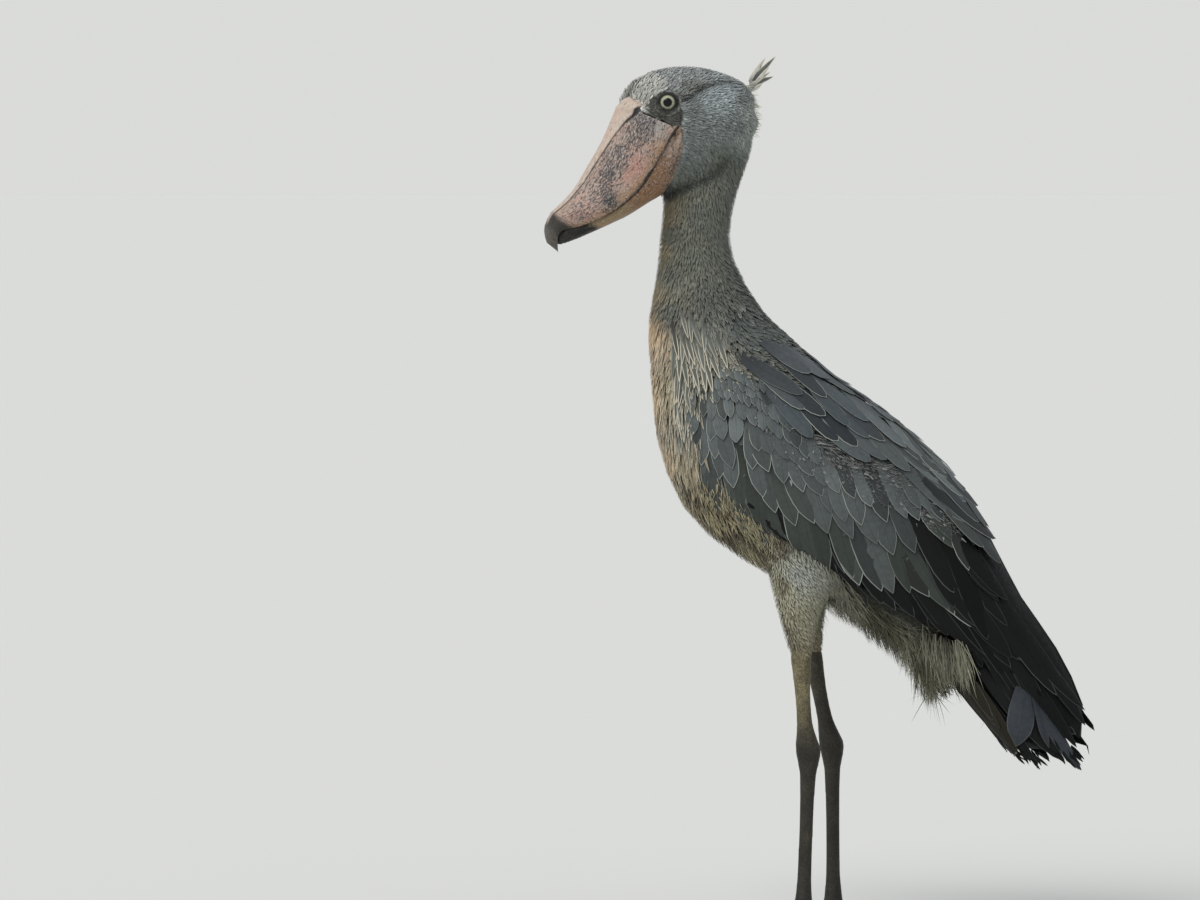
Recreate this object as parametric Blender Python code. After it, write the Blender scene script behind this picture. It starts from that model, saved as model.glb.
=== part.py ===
"""A life-size museum model of a shoebill standing with its wings folded and its head turned to its left.

The bird faces -X and stands on Z = 0. Most pieces are lofts through chords: a chord runs from a low
point to a high point of the side outline, and the ring on it has the given half width. Sizes are metres.
"""

import math

import bmesh
import bpy
from mathutils import Vector

# Fit between neighbouring pieces
GAP = 0.0005
SWELL = 0.0010
RING = 20
SHARP_EDGE = math.radians(40)

# The head turns about a vertical line through the top of the neck.
HEAD_TURN = math.radians(18)
HEAD_AXIS_X = -0.119

# The standing legs
HIP_Y = 0.057
HIP_Z = 0.455
RIGHT_LEG_LEAN = 0.14

# Chords: (low x, low z, high x, high z, half width)
UPPER_BILL = (
    (-0.1743, 1.0100, -0.2400, 1.0395, 0.0500),
    (-0.1890, 0.9905, -0.2480, 1.0190, 0.0535),
    (-0.2035, 0.9680, -0.2620, 0.9900, 0.0550),
    (-0.2185, 0.9440, -0.2795, 0.9610, 0.0535),
    (-0.2390, 0.9210, -0.2955, 0.9355, 0.0500),
    (-0.2620, 0.9030, -0.3130, 0.9165, 0.0440),
    (-0.2830, 0.8915, -0.3275, 0.9040, 0.0350),
    (-0.3040, 0.8840, -0.3355, 0.8895, 0.0235),
    (-0.3195, 0.8790, -0.3370, 0.8770, 0.0130),
    (-0.3215, 0.8680, -0.3340, 0.8650, 0.0075),
)
HOOK_TIP = (-0.3185, 0.0, 0.8520)
BILL_CLEARANCE = 0.0008
LOWER_BILL_DEPTH = (
    (-0.1900, 0.9240, 0.0480),
    (-0.2020, 0.9150, 0.0505),
    (-0.2155, 0.9070, 0.0510),
    (-0.2330, 0.8970, 0.0490),
    (-0.2530, 0.8885, 0.0450),
    (-0.2740, 0.8785, 0.0380),
    (-0.2940, 0.8690, 0.0290),
    (-0.3090, 0.8640, 0.0180),
)
LOWER_BILL_TIP = (-0.3165, 0.0, 0.8680)
CULMEN_HALF_WIDTH = 0.011
CULMEN_HEIGHT = 0.003
# Below 1, these square off a half bill's corners and flatten its dome
BILL_CORNER = 0.82
BILL_DOME = 0.92
UPPER_BILL_RINGS = 16
LOWER_BILL_RINGS = 12

HEAD = (
    (-0.1925, 0.9330, -0.2370, 1.0400, 0.034),
    (-0.1860, 0.9270, -0.2330, 1.0540, 0.045),
    (-0.1790, 0.9270, -0.2180, 1.0710, 0.050),
    (-0.1660, 0.9290, -0.1930, 1.0850, 0.052),
    (-0.1470, 0.9340, -0.1560, 1.0910, 0.055),
    (-0.1270, 0.9400, -0.1230, 1.0885, 0.058),
    (-0.1080, 0.9500, -0.0930, 1.0800, 0.057),
    (-0.0910, 0.9620, -0.0690, 1.0680, 0.052),
    (-0.0770, 0.9790, -0.0560, 1.0480, 0.042),
    (-0.0660, 0.9975, -0.0500, 1.0270, 0.024),
)
HEAD_REAR = (-0.0505, 0.0, 1.0120)
HEAD_RINGS = 13
EYE_RADIUS = 0.013
EYE_PLACE = (-0.184, 0.0350, 1.0435)
EYE_SEGMENTS = 14
EYE_RINGS = 8

# The crest is a tuft of three spikes on the nape.
CREST_ROOT = (-0.058, 0.0, 1.062)
CREST_TIPS = ((-0.038, -0.003, 1.1010), (-0.026, 0.001, 1.1045), (-0.029, 0.004, 1.0765))
CREST_ROOT_RADIUS = 0.006
CREST_TIP_RADIUS = 0.0008
CREST_RINGS = 3
CREST_SIDES = 6

BODY = (
    (-0.1700, 0.9500, -0.0580, 1.0200, 0.0360),
    (-0.1775, 0.9275, -0.0565, 0.9975, 0.0410),
    (-0.1780, 0.9125, -0.0640, 0.9690, 0.0415),
    (-0.1785, 0.8940, -0.0765, 0.9370, 0.0405),
    (-0.1810, 0.8690, -0.0853, 0.9025, 0.0400),
    (-0.1832, 0.8440, -0.0885, 0.8710, 0.0410),
    (-0.1862, 0.8125, -0.0800, 0.8340, 0.0460),
    (-0.1936, 0.7725, -0.0525, 0.7850, 0.0570),
    (-0.1956, 0.7440, -0.0240, 0.7550, 0.0660),
    (-0.1918, 0.6940, 0.0210, 0.7140, 0.0860),
    (-0.1868, 0.6290, 0.0720, 0.6660, 0.0990),
    (-0.1702, 0.5660, 0.1100, 0.6280, 0.1050),
    (-0.1385, 0.5100, 0.1420, 0.5870, 0.1050),
    (-0.0905, 0.4690, 0.1740, 0.5450, 0.0990),
    (-0.0200, 0.4270, 0.2010, 0.4980, 0.0880),
    (0.0400, 0.3970, 0.2250, 0.4480, 0.0740),
    (0.0950, 0.3700, 0.2430, 0.4060, 0.0580),
    (0.1400, 0.3480, 0.2540, 0.3720, 0.0420),
)
NECK_TOP, NECK_MIDDLE, NECK_BASE = 1, 5, 8
NECK_TURN_END = 6
BODY_SEAM = 0.006
NECK_UPPER_RINGS, NECK_LOWER_RINGS, TRUNK_RINGS = 9, 5, 13
RUMP_TIP = (0.205, 0.0, 0.345)

TAIL = (
    (0.1500, 0.3600, 0.2500, 0.3870, 0.0440),
    (0.1875, 0.3060, 0.2775, 0.3475, 0.0540),
    (0.2210, 0.2670, 0.3040, 0.3000, 0.0600),
    (0.2480, 0.2340, 0.3280, 0.2560, 0.0640),
    (0.2690, 0.2110, 0.3470, 0.2210, 0.0600),
    (0.2900, 0.1985, 0.3580, 0.1980, 0.0400),
)
TAIL_SIDES = 16
TAIL_RINGS = 7
UNDERTAIL = (
    (0.0600, 0.3920, 0.2150, 0.3800, 0.0420),
    (0.0950, 0.3610, 0.2150, 0.3350, 0.0390),
    (0.1250, 0.3390, 0.2080, 0.3090, 0.0320),
    (0.1470, 0.3090, 0.1900, 0.2930, 0.0220),
    (0.1620, 0.2850, 0.1730, 0.2830, 0.0100),
)
UNDERTAIL_SIDES = 14
UNDERTAIL_RINGS = 6

WING = (
    (-0.1425, 0.6750, -0.1250, 0.7100, 0.070),
    (-0.1375, 0.6560, -0.1100, 0.7250, 0.084),
    (-0.1290, 0.6130, -0.0575, 0.7380, 0.101),
    (-0.0990, 0.5540, 0.0060, 0.7160, 0.116),
    (-0.0440, 0.4990, 0.0570, 0.6850, 0.122),
    (0.0190, 0.4590, 0.1085, 0.6480, 0.121),
    (0.0810, 0.4110, 0.1600, 0.6055, 0.114),
    (0.1400, 0.3800, 0.2010, 0.5610, 0.102),
    (0.1940, 0.3570, 0.2325, 0.5150, 0.088),
    (0.2400, 0.3200, 0.2600, 0.4675, 0.074),
    (0.2750, 0.2780, 0.2860, 0.4160, 0.060),
    (0.3125, 0.2460, 0.3195, 0.3675, 0.047),
    (0.3440, 0.2260, 0.3505, 0.3190, 0.034),
    (0.3700, 0.2130, 0.3745, 0.2620, 0.018),
)
WING_LOW_EDGE = 0.82
WING_WIDEST = 0.35
WING_SPLIT = 8
WING_SEAM = 0.005
WING_POINTS_OUTSIDE = 13
WING_POINTS_INSIDE = 3
WING_ARM_RINGS = 12
WING_QUILL_RINGS = 8

# Legs, seen from the side, before the right one leans back: (front x, front z, rear x, rear z, half width)
THIGH = (
    (-0.0500, 0.4900, 0.0725, 0.4700, 0.0400),
    (-0.0440, 0.4450, 0.0480, 0.4300, 0.0360),
    (-0.0345, 0.4060, 0.0290, 0.3980, 0.0290),
    (-0.0245, 0.3700, 0.0205, 0.3660, 0.0210),
    (-0.0165, 0.3440, 0.0160, 0.3420, 0.0150),
)
THIGH_RINGS = 7
THIGH_SIDES = 14
SHIN_RINGS = 8
TARSUS_RINGS = 11
LEG_SIDES = 10
# Stations down a bare leg: (x, z, half depth, half width)
SHIN = (
    (0.0000, 0.3425, 0.0145, 0.0130),
    (0.0020, 0.3000, 0.0105, 0.0098),
    (0.0045, 0.2600, 0.0098, 0.0090),
    (0.0068, 0.2390, 0.0125, 0.0110),
    (0.0085, 0.2260, 0.0160, 0.0140),
)
TARSUS = (
    (0.0090, 0.2255, 0.0160, 0.0140),
    (0.0100, 0.2120, 0.0160, 0.0145),
    (0.0095, 0.1930, 0.0112, 0.0105),
    (0.0080, 0.1500, 0.0092, 0.0080),
    (0.0060, 0.0900, 0.0090, 0.0080),
    (0.0045, 0.0500, 0.0095, 0.0090),
    (0.0040, 0.0320, 0.0110, 0.0115),
    (0.0035, 0.0205, 0.0125, 0.0135),
)
FOOT_HALF = (0.0170, 0.0180, 0.0100)
FOOT_LIFT = 0.0085
FOOT_FROM, FOOT_TO = 0.14, 0.86
FOOT_RINGS = 6
FOOT_SIDES = 14
FOOT_REACH_RIGHT = 0.041

# Toes: name, length, heading from straight ahead in degrees (outward is positive)
TOES = (
    ("inner", 0.118, -24),
    ("middle", 0.152, 2),
    ("outer", 0.126, 29),
    ("hind", 0.064, 188),
)
TOE_ROOT_RADIUS = 0.0085
TOE_TIP_RADIUS = 0.0055
TOE_SIDES = 8
TOE_JOINTS = 4
TOE_PADDING = 0.10
TOE_END = 0.75
TOE_SOLE = 0.72
TOE_START = 0.004
CLAW_LENGTH = 0.019
CLAW_ROOT_RADIUS = 0.0042
CLAW_TIP_RADIUS = 0.0007
CLAW_HEIGHT = 0.0052
CLAW_DROP = 0.0042
CLAW_RINGS = 5
CLAW_SIDES = 7

# Finishes: colour, roughness
FINISHES = {
    "grey_plumage": ((0.16, 0.18, 0.20), 0.75),
    "pale_plumage": ((0.34, 0.32, 0.29), 0.80),
    "dark_plumage": ((0.04, 0.045, 0.052), 0.60),
    "horn": ((0.48, 0.33, 0.25), 0.45),
    "claw": ((0.03, 0.028, 0.026), 0.35),
    "eye": ((0.55, 0.57, 0.40), 0.08),
    "bare_leg": ((0.06, 0.055, 0.05), 0.60),
}


def finish(name):
    colour, roughness = FINISHES[name]
    material = bpy.data.materials.get(name)
    if material is None:
        material = bpy.data.materials.new(name)
        material.use_nodes = True
        shader = material.node_tree.nodes["Principled BSDF"]
        shader.inputs["Base Color"].default_value = (*colour, 1)
        shader.inputs["Roughness"].default_value = roughness
        shader.inputs["Metallic"].default_value = 0
    return material


def empty(name, place, parent=None):
    marker = bpy.data.objects.new(name, None)
    bpy.context.collection.objects.link(marker)
    marker.location = place
    marker.parent = parent
    return marker


def piece(name, points, faces, material, parent):
    """One closed, smooth-shaded object, facing out."""
    mesh = bpy.data.meshes.new(name)
    mesh.from_pydata([tuple(p) for p in points], [], faces)
    form = bmesh.new()
    form.from_mesh(mesh)
    bmesh.ops.recalc_face_normals(form, faces=form.faces)
    form.to_mesh(mesh)
    form.free()
    mesh.materials.append(finish(material))
    mesh.shade_smooth()
    mesh.set_sharp_from_angle(angle=SHARP_EDGE)
    made = bpy.data.objects.new(name, mesh)
    bpy.context.collection.objects.link(made)
    made.parent = parent
    return made


def between(rows, t):
    """The row at place t along the rows, on a curve through them."""
    i = min(int(t), len(rows) - 2)
    u = t - i
    before, here = rows[max(i - 1, 0)], rows[i]
    after, beyond = rows[i + 1], rows[min(i + 2, len(rows) - 1)]
    return tuple(
        b + 0.5 * u * (c - a + u * (2 * a - 5 * b + 4 * c - d + u * (3 * (b - c) + d - a)))
        for a, b, c, d in zip(before, here, after, beyond)
    )


def loft(name, rings, material, parent, nose=None, end=None):
    """A closed skin over rings of equal count. A nose or an end point closes that side to a point."""
    count = len(rings[0])
    points = [p for ring in rings for p in ring]
    faces = [
        (k * count + i, k * count + (i + 1) % count, (k + 1) * count + (i + 1) % count, (k + 1) * count + i)
        for k in range(len(rings) - 1)
        for i in range(count)
    ]
    last = (len(rings) - 1) * count
    if nose is None:
        faces.append(tuple(reversed(range(count))))
    else:
        points.append(Vector(nose))
        faces += [((i + 1) % count, i, len(points) - 1) for i in range(count)]
    if end is None:
        faces.append(tuple(range(last, last + count)))
    else:
        points.append(Vector(end))
        faces += [(last + i, last + (i + 1) % count, len(points) - 1) for i in range(count)]
    return piece(name, points, faces, material, parent)


def chord_ring(row, side=0.0, turn=0.0, count=RING):
    """An ellipse on a chord of the side outline, turned about the head's vertical axis."""
    low_x, low_z, high_x, high_z, half_width = row
    ring = []
    for i in range(count):
        a = 2 * math.pi * i / count
        rise = (1 - math.cos(a)) / 2
        x = low_x + (high_x - low_x) * rise
        z = low_z + (high_z - low_z) * rise
        y = side + half_width * math.sin(a)
        off = x - HEAD_AXIS_X
        x_turned = HEAD_AXIS_X + off * math.cos(turn) - y * math.sin(turn)
        y_turned = off * math.sin(turn) + y * math.cos(turn)
        ring.append(Vector((x_turned, y_turned, z)))
    return ring


def steps(start, stop, count):
    return [start + (stop - start) * i / (count - 1) for i in range(count)]


def body_part(name, start, stop, count, material, parent, end=None):
    """A length of the neck and trunk. The neck untwists from the turned head."""
    rings = []
    for t in steps(start, stop, count):
        left = min(1, max(0, 1 - (t - NECK_TOP) / (NECK_TURN_END - NECK_TOP)))
        turn = HEAD_TURN * left * left * (3 - 2 * left)
        rings.append(chord_ring(between(BODY, t), turn=turn))
    return loft(name, rings, material, parent, end=end)


def bill_ring(row, below):
    """Half a bill: flat where the two halves meet, and domed towards the culmen or the chin."""
    flat_x, flat_z, dome_x, dome_z, half_width = row
    ring = []
    for i in range(RING):
        a = math.pi * i / (RING - 1)
        y = half_width * math.copysign(abs(math.cos(a)) ** BILL_CORNER, math.cos(a))
        rise = math.sin(a) ** BILL_DOME
        point = Vector((flat_x + (dome_x - flat_x) * rise, y, flat_z + (dome_z - flat_z) * rise))
        if not below:
            ridge = CULMEN_HEIGHT * math.exp(-((y / CULMEN_HALF_WIDTH) ** 4))
            up = Vector((dome_x - flat_x, 0, dome_z - flat_z)).normalized()
            point += up * (ridge - CULMEN_HEIGHT) * rise
        ring.append(point)
    return ring


def make_bill(parent):
    places = steps(0, len(UPPER_BILL) - 1, UPPER_BILL_RINGS)
    rings = [bill_ring(between(UPPER_BILL, t), below=False) for t in places]
    upper = loft("bill_upper", rings, "horn", parent, end=HOOK_TIP)
    rows = [
        (flat[0], flat[1] - BILL_CLEARANCE, *deep)
        for flat, deep in zip(UPPER_BILL, LOWER_BILL_DEPTH)
    ]
    places = steps(0, len(rows) - 1, LOWER_BILL_RINGS)
    rings = [bill_ring(between(rows, t), below=True) for t in places]
    lower = loft("bill_lower", rings, "horn", parent, end=LOWER_BILL_TIP)
    return upper, lower


def make_head(parent):
    rings = [chord_ring(between(HEAD, t)) for t in steps(0, len(HEAD) - 1, HEAD_RINGS)]
    return loft("head", rings, "grey_plumage", parent, end=HEAD_REAR)


def make_eye(name, side, parent):
    bpy.ops.mesh.primitive_uv_sphere_add(segments=EYE_SEGMENTS, ring_count=EYE_RINGS, radius=EYE_RADIUS)
    eye = bpy.context.object
    eye.name = eye.data.name = name
    x, y, z = EYE_PLACE
    eye.location = (x, side * y, z)
    eye.data.materials.append(finish("eye"))
    eye.data.shade_smooth()
    eye.parent = parent
    return eye


def round_ring(centre, direction, radius, count):
    """A circle about a centre, square to a direction."""
    turn = direction.to_track_quat("Z", "Y")
    angles = [2 * math.pi * i / count for i in range(count)]
    return [centre + turn @ Vector((radius * math.cos(a), radius * math.sin(a), 0)) for a in angles]


def make_crest(parent):
    """Three joined spikes."""
    root = Vector(CREST_ROOT)
    spikes = []
    for number, tip in enumerate(CREST_TIPS):
        way = Vector(tip) - root
        rings = []
        for t in steps(0, 1, CREST_RINGS):
            radius = CREST_ROOT_RADIUS * (1 - t) + CREST_TIP_RADIUS * t
            rings.append(round_ring(root + way * t, way, radius, CREST_SIDES))
        name = "crest" if number == 0 else f"crest_spike_{number}"
        spikes.append(loft(name, rings, "grey_plumage", parent))
    for spike in spikes[1:]:
        join(spikes[0], spike)
    return spikes[0]


def wing_ring(row, side):
    """From the low edge round the outside to the back's middle line, and straight down inside."""
    low_x, low_z, high_x, high_z, half_width = row
    ring = []
    for i in range(WING_POINTS_OUTSIDE):
        s = 0.5 - 0.5 * math.cos(math.pi * i / (WING_POINTS_OUTSIDE - 1))
        if s < WING_WIDEST:
            share = WING_LOW_EDGE + (1 - WING_LOW_EDGE) * math.sin(math.pi / 2 * s / WING_WIDEST)
        else:
            share = math.sqrt(max(0, 1 - ((s - WING_WIDEST) / (1 - WING_WIDEST)) ** 2))
        y = GAP + (half_width - GAP) * share
        ring.append(Vector((low_x + (high_x - low_x) * s, side * y, low_z + (high_z - low_z) * s)))
    for i in range(1, WING_POINTS_INSIDE + 1):
        s = 1 - i / WING_POINTS_INSIDE
        ring.append(Vector((low_x + (high_x - low_x) * s, side * GAP, low_z + (high_z - low_z) * s)))
    return ring


def make_wing(side, word, parent):
    """The arm with its coverts, and the folded flight feathers behind it."""
    arm_places = steps(0, WING_SPLIT - WING_SEAM, WING_ARM_RINGS)
    arm_rings = [wing_ring(between(WING, t), side) for t in arm_places]
    arm = loft(f"wing_arm_{word}", arm_rings, "grey_plumage", parent)
    quill_places = steps(WING_SPLIT + WING_SEAM, len(WING) - 1, WING_QUILL_RINGS)
    quill_rings = [wing_ring(between(WING, t), side) for t in quill_places]
    quills = loft(f"wing_quills_{word}", quill_rings, "dark_plumage", parent)
    return arm, quills


def leaned(x, z, lean):
    return x + lean * max(0, HIP_Z - z)


def leg_ring(station, side, shift):
    x, z, half_depth, half_width = station
    ring = []
    for i in range(LEG_SIDES):
        a = 2 * math.pi * i / LEG_SIDES
        ring.append(Vector((x + shift - half_depth * math.cos(a), side + half_width * math.sin(a), z)))
    return ring


def make_leg(side, word, parent):
    """Thigh, shin and tarsus of one leg. Returns the thigh, the tarsus and the foot's place."""
    lean = RIGHT_LEG_LEAN if side > 0 else 0.0
    hip = side * HIP_Y
    rings = []
    for t in steps(0, len(THIGH) - 1, THIGH_RINGS):
        front_x, front_z, rear_x, rear_z, half_width = between(THIGH, t)
        row = (leaned(front_x, front_z, lean), front_z, leaned(rear_x, rear_z, lean), rear_z, half_width)
        rings.append(chord_ring(row, side=hip, count=THIGH_SIDES))
    thigh = loft(f"thigh_{word}", rings, "pale_plumage", parent)

    shin_rings = []
    for t in steps(0, len(SHIN) - 1, SHIN_RINGS):
        station = between(SHIN, t)
        z = station[1] - 2 * GAP
        shin_rings.append(leg_ring((station[0], z, *station[2:]), hip, leaned(0, z, lean)))
    loft(f"shin_{word}", shin_rings, "bare_leg", parent)

    ankle_z, foot_z = TARSUS[0][1], TARSUS[-1][1]
    ankle_shift = leaned(0, ankle_z, lean)
    foot_shift = FOOT_REACH_RIGHT if side > 0 else 0.0
    tarsus_rings = []
    for t in steps(0, len(TARSUS) - 1, TARSUS_RINGS):
        station = between(TARSUS, t)
        share = (ankle_z - station[1]) / (ankle_z - foot_z)
        shift = ankle_shift + (foot_shift - ankle_shift) * share
        tarsus_rings.append(leg_ring((station[0], station[1] - 3 * GAP, *station[2:]), hip, shift))
    tarsus = loft(f"tarsus_{word}", tarsus_rings, "bare_leg", parent)
    foot = Vector((TARSUS[-1][0] + foot_shift, hip, 0))
    return thigh, tarsus, foot


def toe_heading(side, degrees):
    a = math.radians(degrees)
    return Vector((-math.cos(a), side * math.sin(a), 0))


def make_toe(name, foot, heading, length, parent):
    """A toe lying on the floor with padded joints and a flat sole."""
    across = Vector((-heading.y, heading.x, 0))
    rings = []
    count = TOE_JOINTS * 2 + 1
    for i in range(count):
        t = i / (count - 1)
        pad = 1 + TOE_PADDING * math.cos(2 * math.pi * t * TOE_JOINTS)
        radius = (TOE_ROOT_RADIUS + (TOE_TIP_RADIUS - TOE_ROOT_RADIUS) * t) * pad
        if i == count - 1:
            radius *= TOE_END
        centre = foot + heading * (TOE_START + (length - TOE_START) * t)
        lift = TOE_SOLE * (TOE_ROOT_RADIUS + (TOE_TIP_RADIUS - TOE_ROOT_RADIUS) * t)
        ring = []
        for k in range(TOE_SIDES):
            a = 2 * math.pi * (k + 0.5) / TOE_SIDES
            z = max(0.0, lift + radius * math.sin(a))
            ring.append(centre + across * (radius * math.cos(a)) + Vector((0, 0, z)))
        rings.append(ring)
    return loft(name, rings, "bare_leg", parent)


def make_foot(name, foot, parent):
    """The ball that the toes spread from, flat underneath."""
    rings = []
    for t in steps(FOOT_FROM, FOOT_TO, FOOT_RINGS):
        a = math.pi * t
        ring = []
        for k in range(FOOT_SIDES):
            b = 2 * math.pi * k / FOOT_SIDES
            x = FOOT_HALF[0] * math.sin(a) * math.cos(b)
            y = FOOT_HALF[1] * math.sin(a) * math.sin(b)
            z = max(0.0, FOOT_LIFT - FOOT_HALF[2] * math.cos(a))
            ring.append(foot + Vector((x, y, z)))
        rings.append(ring)
    return loft(name, rings, "bare_leg", parent)


def make_claw(name, foot, heading, length, parent):
    """A claw that leaves the toe's end level and bends down towards the floor."""
    rings = []
    for t in steps(0, 1, CLAW_RINGS):
        along = length + GAP + CLAW_LENGTH * t
        height = CLAW_HEIGHT - CLAW_DROP * t * t
        radius = CLAW_ROOT_RADIUS + (CLAW_TIP_RADIUS - CLAW_ROOT_RADIUS) * t ** 0.8
        slope = Vector((heading.x, heading.y, -2 * CLAW_DROP * t / CLAW_LENGTH))
        centre = foot + heading * along + Vector((0, 0, height))
        rings.append(round_ring(centre, slope, radius, CLAW_SIDES))
    return loft(name, rings, "claw", parent)


def boolean(target, other, operation):
    modifier = target.modifiers.new(other.name, "BOOLEAN")
    modifier.object = other
    modifier.operation = operation
    modifier.solver = "EXACT"


def helper(obj):
    obj.hide_render = True
    obj.display_type = "WIRE"
    return obj


def join(target, other):
    boolean(target, helper(other), "UNION")


def clearance_of(obj):
    """A copy of a piece, swollen by the gap, that cuts room for it out of its neighbours."""
    copy = bpy.data.objects.new(f"room_for_{obj.name}", obj.data)
    bpy.context.collection.objects.link(copy)
    copy.parent = obj.parent
    copy.matrix_basis = obj.matrix_basis.copy()
    swell = copy.modifiers.new("swell", "DISPLACE")
    swell.strength = SWELL
    swell.mid_level = 0
    return helper(copy)


def cut_round(target, *rooms):
    for room in rooms:
        boolean(target, room, "DIFFERENCE")


def centre_on_floor(root):
    """Moves the bird so that the origin is under the middle of its box, on the floor."""
    bpy.context.view_layer.update()
    graph = bpy.context.evaluated_depsgraph_get()
    corners = []
    for obj in bpy.data.objects:
        if obj.type == "MESH" and not obj.hide_render:
            seen = obj.evaluated_get(graph)
            corners += [seen.matrix_world @ v.co for v in seen.data.vertices]
    for axis in (0, 1):
        values = [c[axis] for c in corners]
        root.location[axis] = -(min(values) + max(values)) / 2
    root.location.z = -min(c.z for c in corners)


def main():
    for obj in list(bpy.data.objects):
        bpy.data.objects.remove(obj)

    bird = empty("bird", (0, 0, 0))
    turn = empty("head_turn", (HEAD_AXIS_X, 0, 0), bird)
    turn.rotation_euler.z = HEAD_TURN
    skull = empty("head_frame", (-HEAD_AXIS_X, 0, 0), turn)

    upper, lower = make_bill(skull)
    head = make_head(skull)
    eyes = [make_eye("eye_left", -1, skull), make_eye("eye_right", 1, skull)]
    crest = make_crest(skull)
    rooms = {o.name: clearance_of(o) for o in (upper, lower, head, *eyes)}
    cut_round(head, rooms["bill_upper"], rooms["bill_lower"], rooms["eye_left"], rooms["eye_right"])
    cut_round(crest, rooms["head"])

    upper_end, lower_start = NECK_MIDDLE - BODY_SEAM, NECK_MIDDLE + BODY_SEAM
    lower_end, trunk_start = NECK_BASE - BODY_SEAM, NECK_BASE + BODY_SEAM
    neck_upper = body_part("neck_upper", 0, upper_end, NECK_UPPER_RINGS, "grey_plumage", bird)
    cut_round(neck_upper, rooms["head"], rooms["bill_lower"])
    neck_lower = body_part("neck_lower", lower_start, lower_end, NECK_LOWER_RINGS, "grey_plumage", bird)
    trunk = body_part("trunk", trunk_start, len(BODY) - 1, TRUNK_RINGS, "pale_plumage", bird, end=RUMP_TIP)
    trunk_room, neck_room = clearance_of(trunk), clearance_of(neck_lower)

    tail_places = steps(0, len(TAIL) - 1, TAIL_RINGS)
    tail_rings = [chord_ring(between(TAIL, t), count=TAIL_SIDES) for t in tail_places]
    tail = loft("tail", tail_rings, "dark_plumage", bird)
    tail_room = clearance_of(tail)
    cut_round(tail, trunk_room)

    wing_rooms = []
    for side, word in ((-1, "left"), (1, "right")):
        for wing in make_wing(side, word, bird):
            wing_rooms.append(clearance_of(wing))
            cut_round(wing, trunk_room, neck_room, tail_room)

    undertail_places = steps(0, len(UNDERTAIL) - 1, UNDERTAIL_RINGS)
    undertail_rings = [chord_ring(between(UNDERTAIL, t), count=UNDERTAIL_SIDES) for t in undertail_places]
    undertail = loft("undertail", undertail_rings, "pale_plumage", bird)
    cut_round(undertail, trunk_room, tail_room, *wing_rooms)

    for side, word in ((-1, "left"), (1, "right")):
        thigh, tarsus, foot = make_leg(side, word, bird)
        cut_round(thigh, trunk_room, *wing_rooms)
        ball = make_foot(f"foot_{word}", foot, bird)
        cut_round(ball, clearance_of(tarsus))
        ball_room = clearance_of(ball)
        toes = {}
        for toe_name, length, degrees in TOES:
            heading = toe_heading(side, degrees)
            toes[toe_name] = make_toe(f"toe_{toe_name}_{word}", foot, heading, length, bird)
            make_claw(f"claw_{toe_name}_{word}", foot, heading, length, bird)
            cut_round(toes[toe_name], ball_room)
        middle_room = clearance_of(toes["middle"])
        cut_round(toes["inner"], middle_room)
        cut_round(toes["outer"], middle_room)

    centre_on_floor(bird)


main()
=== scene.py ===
import math

import bmesh
import bpy
import numpy as np
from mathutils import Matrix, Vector, kdtree, noise
from mathutils.bvhtree import BVHTree


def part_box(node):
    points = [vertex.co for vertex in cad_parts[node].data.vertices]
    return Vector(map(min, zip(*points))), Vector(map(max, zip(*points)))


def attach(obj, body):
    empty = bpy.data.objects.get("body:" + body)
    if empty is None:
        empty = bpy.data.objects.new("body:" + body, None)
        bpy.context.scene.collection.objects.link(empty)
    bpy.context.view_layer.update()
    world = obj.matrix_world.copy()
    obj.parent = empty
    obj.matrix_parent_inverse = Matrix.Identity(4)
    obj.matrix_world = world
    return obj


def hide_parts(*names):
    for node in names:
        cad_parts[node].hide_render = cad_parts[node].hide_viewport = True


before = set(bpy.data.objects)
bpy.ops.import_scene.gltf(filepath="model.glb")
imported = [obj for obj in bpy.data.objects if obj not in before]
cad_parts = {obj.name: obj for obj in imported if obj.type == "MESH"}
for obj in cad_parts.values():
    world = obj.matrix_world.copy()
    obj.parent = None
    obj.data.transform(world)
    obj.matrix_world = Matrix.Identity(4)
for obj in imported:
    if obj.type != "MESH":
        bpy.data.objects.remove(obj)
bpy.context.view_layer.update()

# ---------------------------------------------------------------- studio
# A pale floor without edges, a soft sky and one broad soft lamp high on the bird's left,
# and a long lens two degrees above the level of the bird's middle.
MM = 0.001
ORIGIN_X = (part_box("foot_left")[0].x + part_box("foot_left")[1].x) / 2 - 3.5 * MM
VIEW_CENTRE = (-0.2796, 0.0, 0.599)
VIEW_DISTANCE = 12.0
VIEW_WIDTH = 1.536
VIEW_RISE = math.radians(2)
SENSOR = 36.0
FLOOR_RADIUS = 120.0
SKY_STRENGTH = 0.62
SEEN_BACKDROP = (0.704, 0.712, 0.694, 1)
LAMP_STRENGTH = 2.0
LAMP_WAY = (0.50, 0.55, -0.80)


def deselect():
    bpy.ops.object.select_all(action="DESELECT")


def plain_material(name, colour, roughness):
    material = bpy.data.materials.new(name)
    material.use_nodes = True
    shader = material.node_tree.nodes["Principled BSDF"]
    shader.inputs["Base Color"].default_value = (*colour, 1)
    shader.inputs["Roughness"].default_value = roughness
    return material


deselect()
bpy.ops.mesh.primitive_circle_add(vertices=96, radius=FLOOR_RADIUS, fill_type="NGON", location=(0, 0, 0))
floor = bpy.context.object
floor.name = "studio_floor"
floor.data.materials.append(plain_material("studio_floor_paint", (0.672, 0.678, 0.662), 0.9))

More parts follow.
